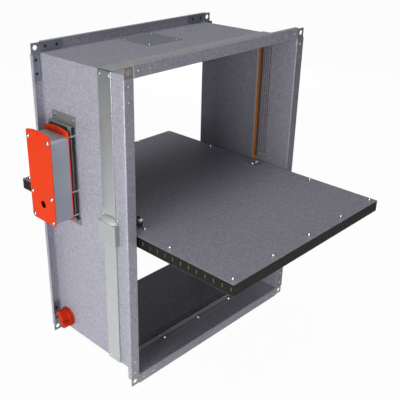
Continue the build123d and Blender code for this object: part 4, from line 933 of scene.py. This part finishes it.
# %% Turn the heads
blade_screw_height = 7.0
small_screw_limit = 4.5
tallest_rivet = 2.0
straight_share = 0.3
screw_recess = (1.3, 1.2)
rivet_recess = (0.9, 0.5)
widest_recess = 0.4
deepest_recess = 0.5
screw_sides = 20
rivet_sides = 14
for name in ("blade_screws", "casing_screws", "cover_rivets", "flange_rivets"):
    seats = {}
    for points in loose_solids(name):
        seat, facing, radius, height = seat_of(points)
        size = (round(radius / MM, 1), round(height / MM, 1))
        seats.setdefault(size, []).append((seat, facing))
    for (radius, height), places in seats.items():
        if name == "blade_screws":
            height = blade_screw_height
        is_screw = height > tallest_rivet
        recess_radius, recess_depth = screw_recess if is_screw else rivet_recess
        outline = dome_outline(
            radius, height, height * straight_share,
            min(recess_radius, radius * widest_recess), min(recess_depth, height * deepest_recess))
        master = turned_piece(f"{name}_master", outline, screw_sides if is_screw else rivet_sides)
        heads = copies_at(f"{name}_domed_r{radius}_h{height}".replace(".", "_"), master, places)
        bpy.data.objects.remove(master)
        stand_for(heads, name)
        behind_front_face = name == "flange_rivets" and places[0][0].y > 0
        holds_a_stop = name == "casing_screws" and radius > small_screw_limit
        # Painted shade: the heads behind the front face take the dark brown rivet finish.
        if behind_front_face:
            heads.data.materials[0] = shaded_brown_rivet
        # Painted highlight: the stop screws take the nearly white plate.
        if holds_a_stop:
            heads.data.materials[0] = painted_highlight_zinc
        print(heads.name, len(places), "heads", len(heads.data.polygons), "faces")

# %% [markdown]
# ## The long screws of the mechanism
# Six screws run through both cover plates and end in spacer sleeves that hold the box off the wall, where
# they show as bright pins in the shadow behind it. Each is turned whole, from its far end to the recess of
# its head.

# %% Turn the screws of the mechanism
sleeve_radius = 3.2
sleeve_length = 23.5
sleeve_edge = 0.3
shank_radius = 2.5
drive_head_height = 4.0
drive_head = dome_outline(
    radius=5.5, height=drive_head_height, side=0.8, recess_radius=1.7, recess_depth=1.6, steps=5)
drive_screw_places = []
for points in loose_solids("mechanism_screws"):
    low, high = corner_box(points)
    middle = (low + high) / 2
    drive_screw_places.append((Vector((high.x, middle.y, middle.z)), Vector((-1, 0, 0))))
    screw_length = (high - low).x / MM
head_base = screw_length - drive_head_height
outline = [
    (sleeve_radius - sleeve_edge, 0.0),
    (sleeve_radius, sleeve_edge),
    (sleeve_radius, sleeve_length - sleeve_edge),
    (sleeve_radius - sleeve_edge, sleeve_length),
    (shank_radius, sleeve_length),
    (shank_radius, head_base),
]
outline += [(radius, head_base + height) for radius, height in drive_head]
master = turned_piece("drive_screw_master", outline, 24)
drive_screws = copies_at("mechanism_screws_turned", master, drive_screw_places)
bpy.data.objects.remove(master)
stand_for(drive_screws, "mechanism_screws")
print("drive screws", len(drive_screw_places), "of", round(screw_length, 2), "mm")

# %% [markdown]
# ## The screws of the shaft plates
# Two screws hold each plate over the blade's stub shafts and reach down through the skin into the core.
# They are turned in the same way, with a plain shank.

# %% Turn the screws of the shaft plates
plate_head_height = 2.6
plate_head = dome_outline(
    radius=4.5, height=plate_head_height, side=0.6, recess_radius=1.5, recess_depth=1.2)
plate_screw_places = []
for points in loose_solids("shaft_plate_screws"):
    low, high = corner_box(points)
    middle = (low + high) / 2
    plate_screw_places.append((Vector((middle.x, middle.y, low.z)), Vector((0, 0, 1))))
    screw_length = (high - low).z / MM
head_base = screw_length - plate_head_height
outline = [(shank_radius, 0.0), (shank_radius, head_base)]
outline += [(radius, head_base + height) for radius, height in plate_head]
master = turned_piece("plate_screw_master", outline, screw_sides)
plate_screws = copies_at("shaft_plate_screws_turned", master, plate_screw_places)
bpy.data.objects.remove(master)
stand_for(plate_screws, "shaft_plate_screws")
print("plate screws", len(plate_screw_places), "of", round(screw_length, 2), "mm")
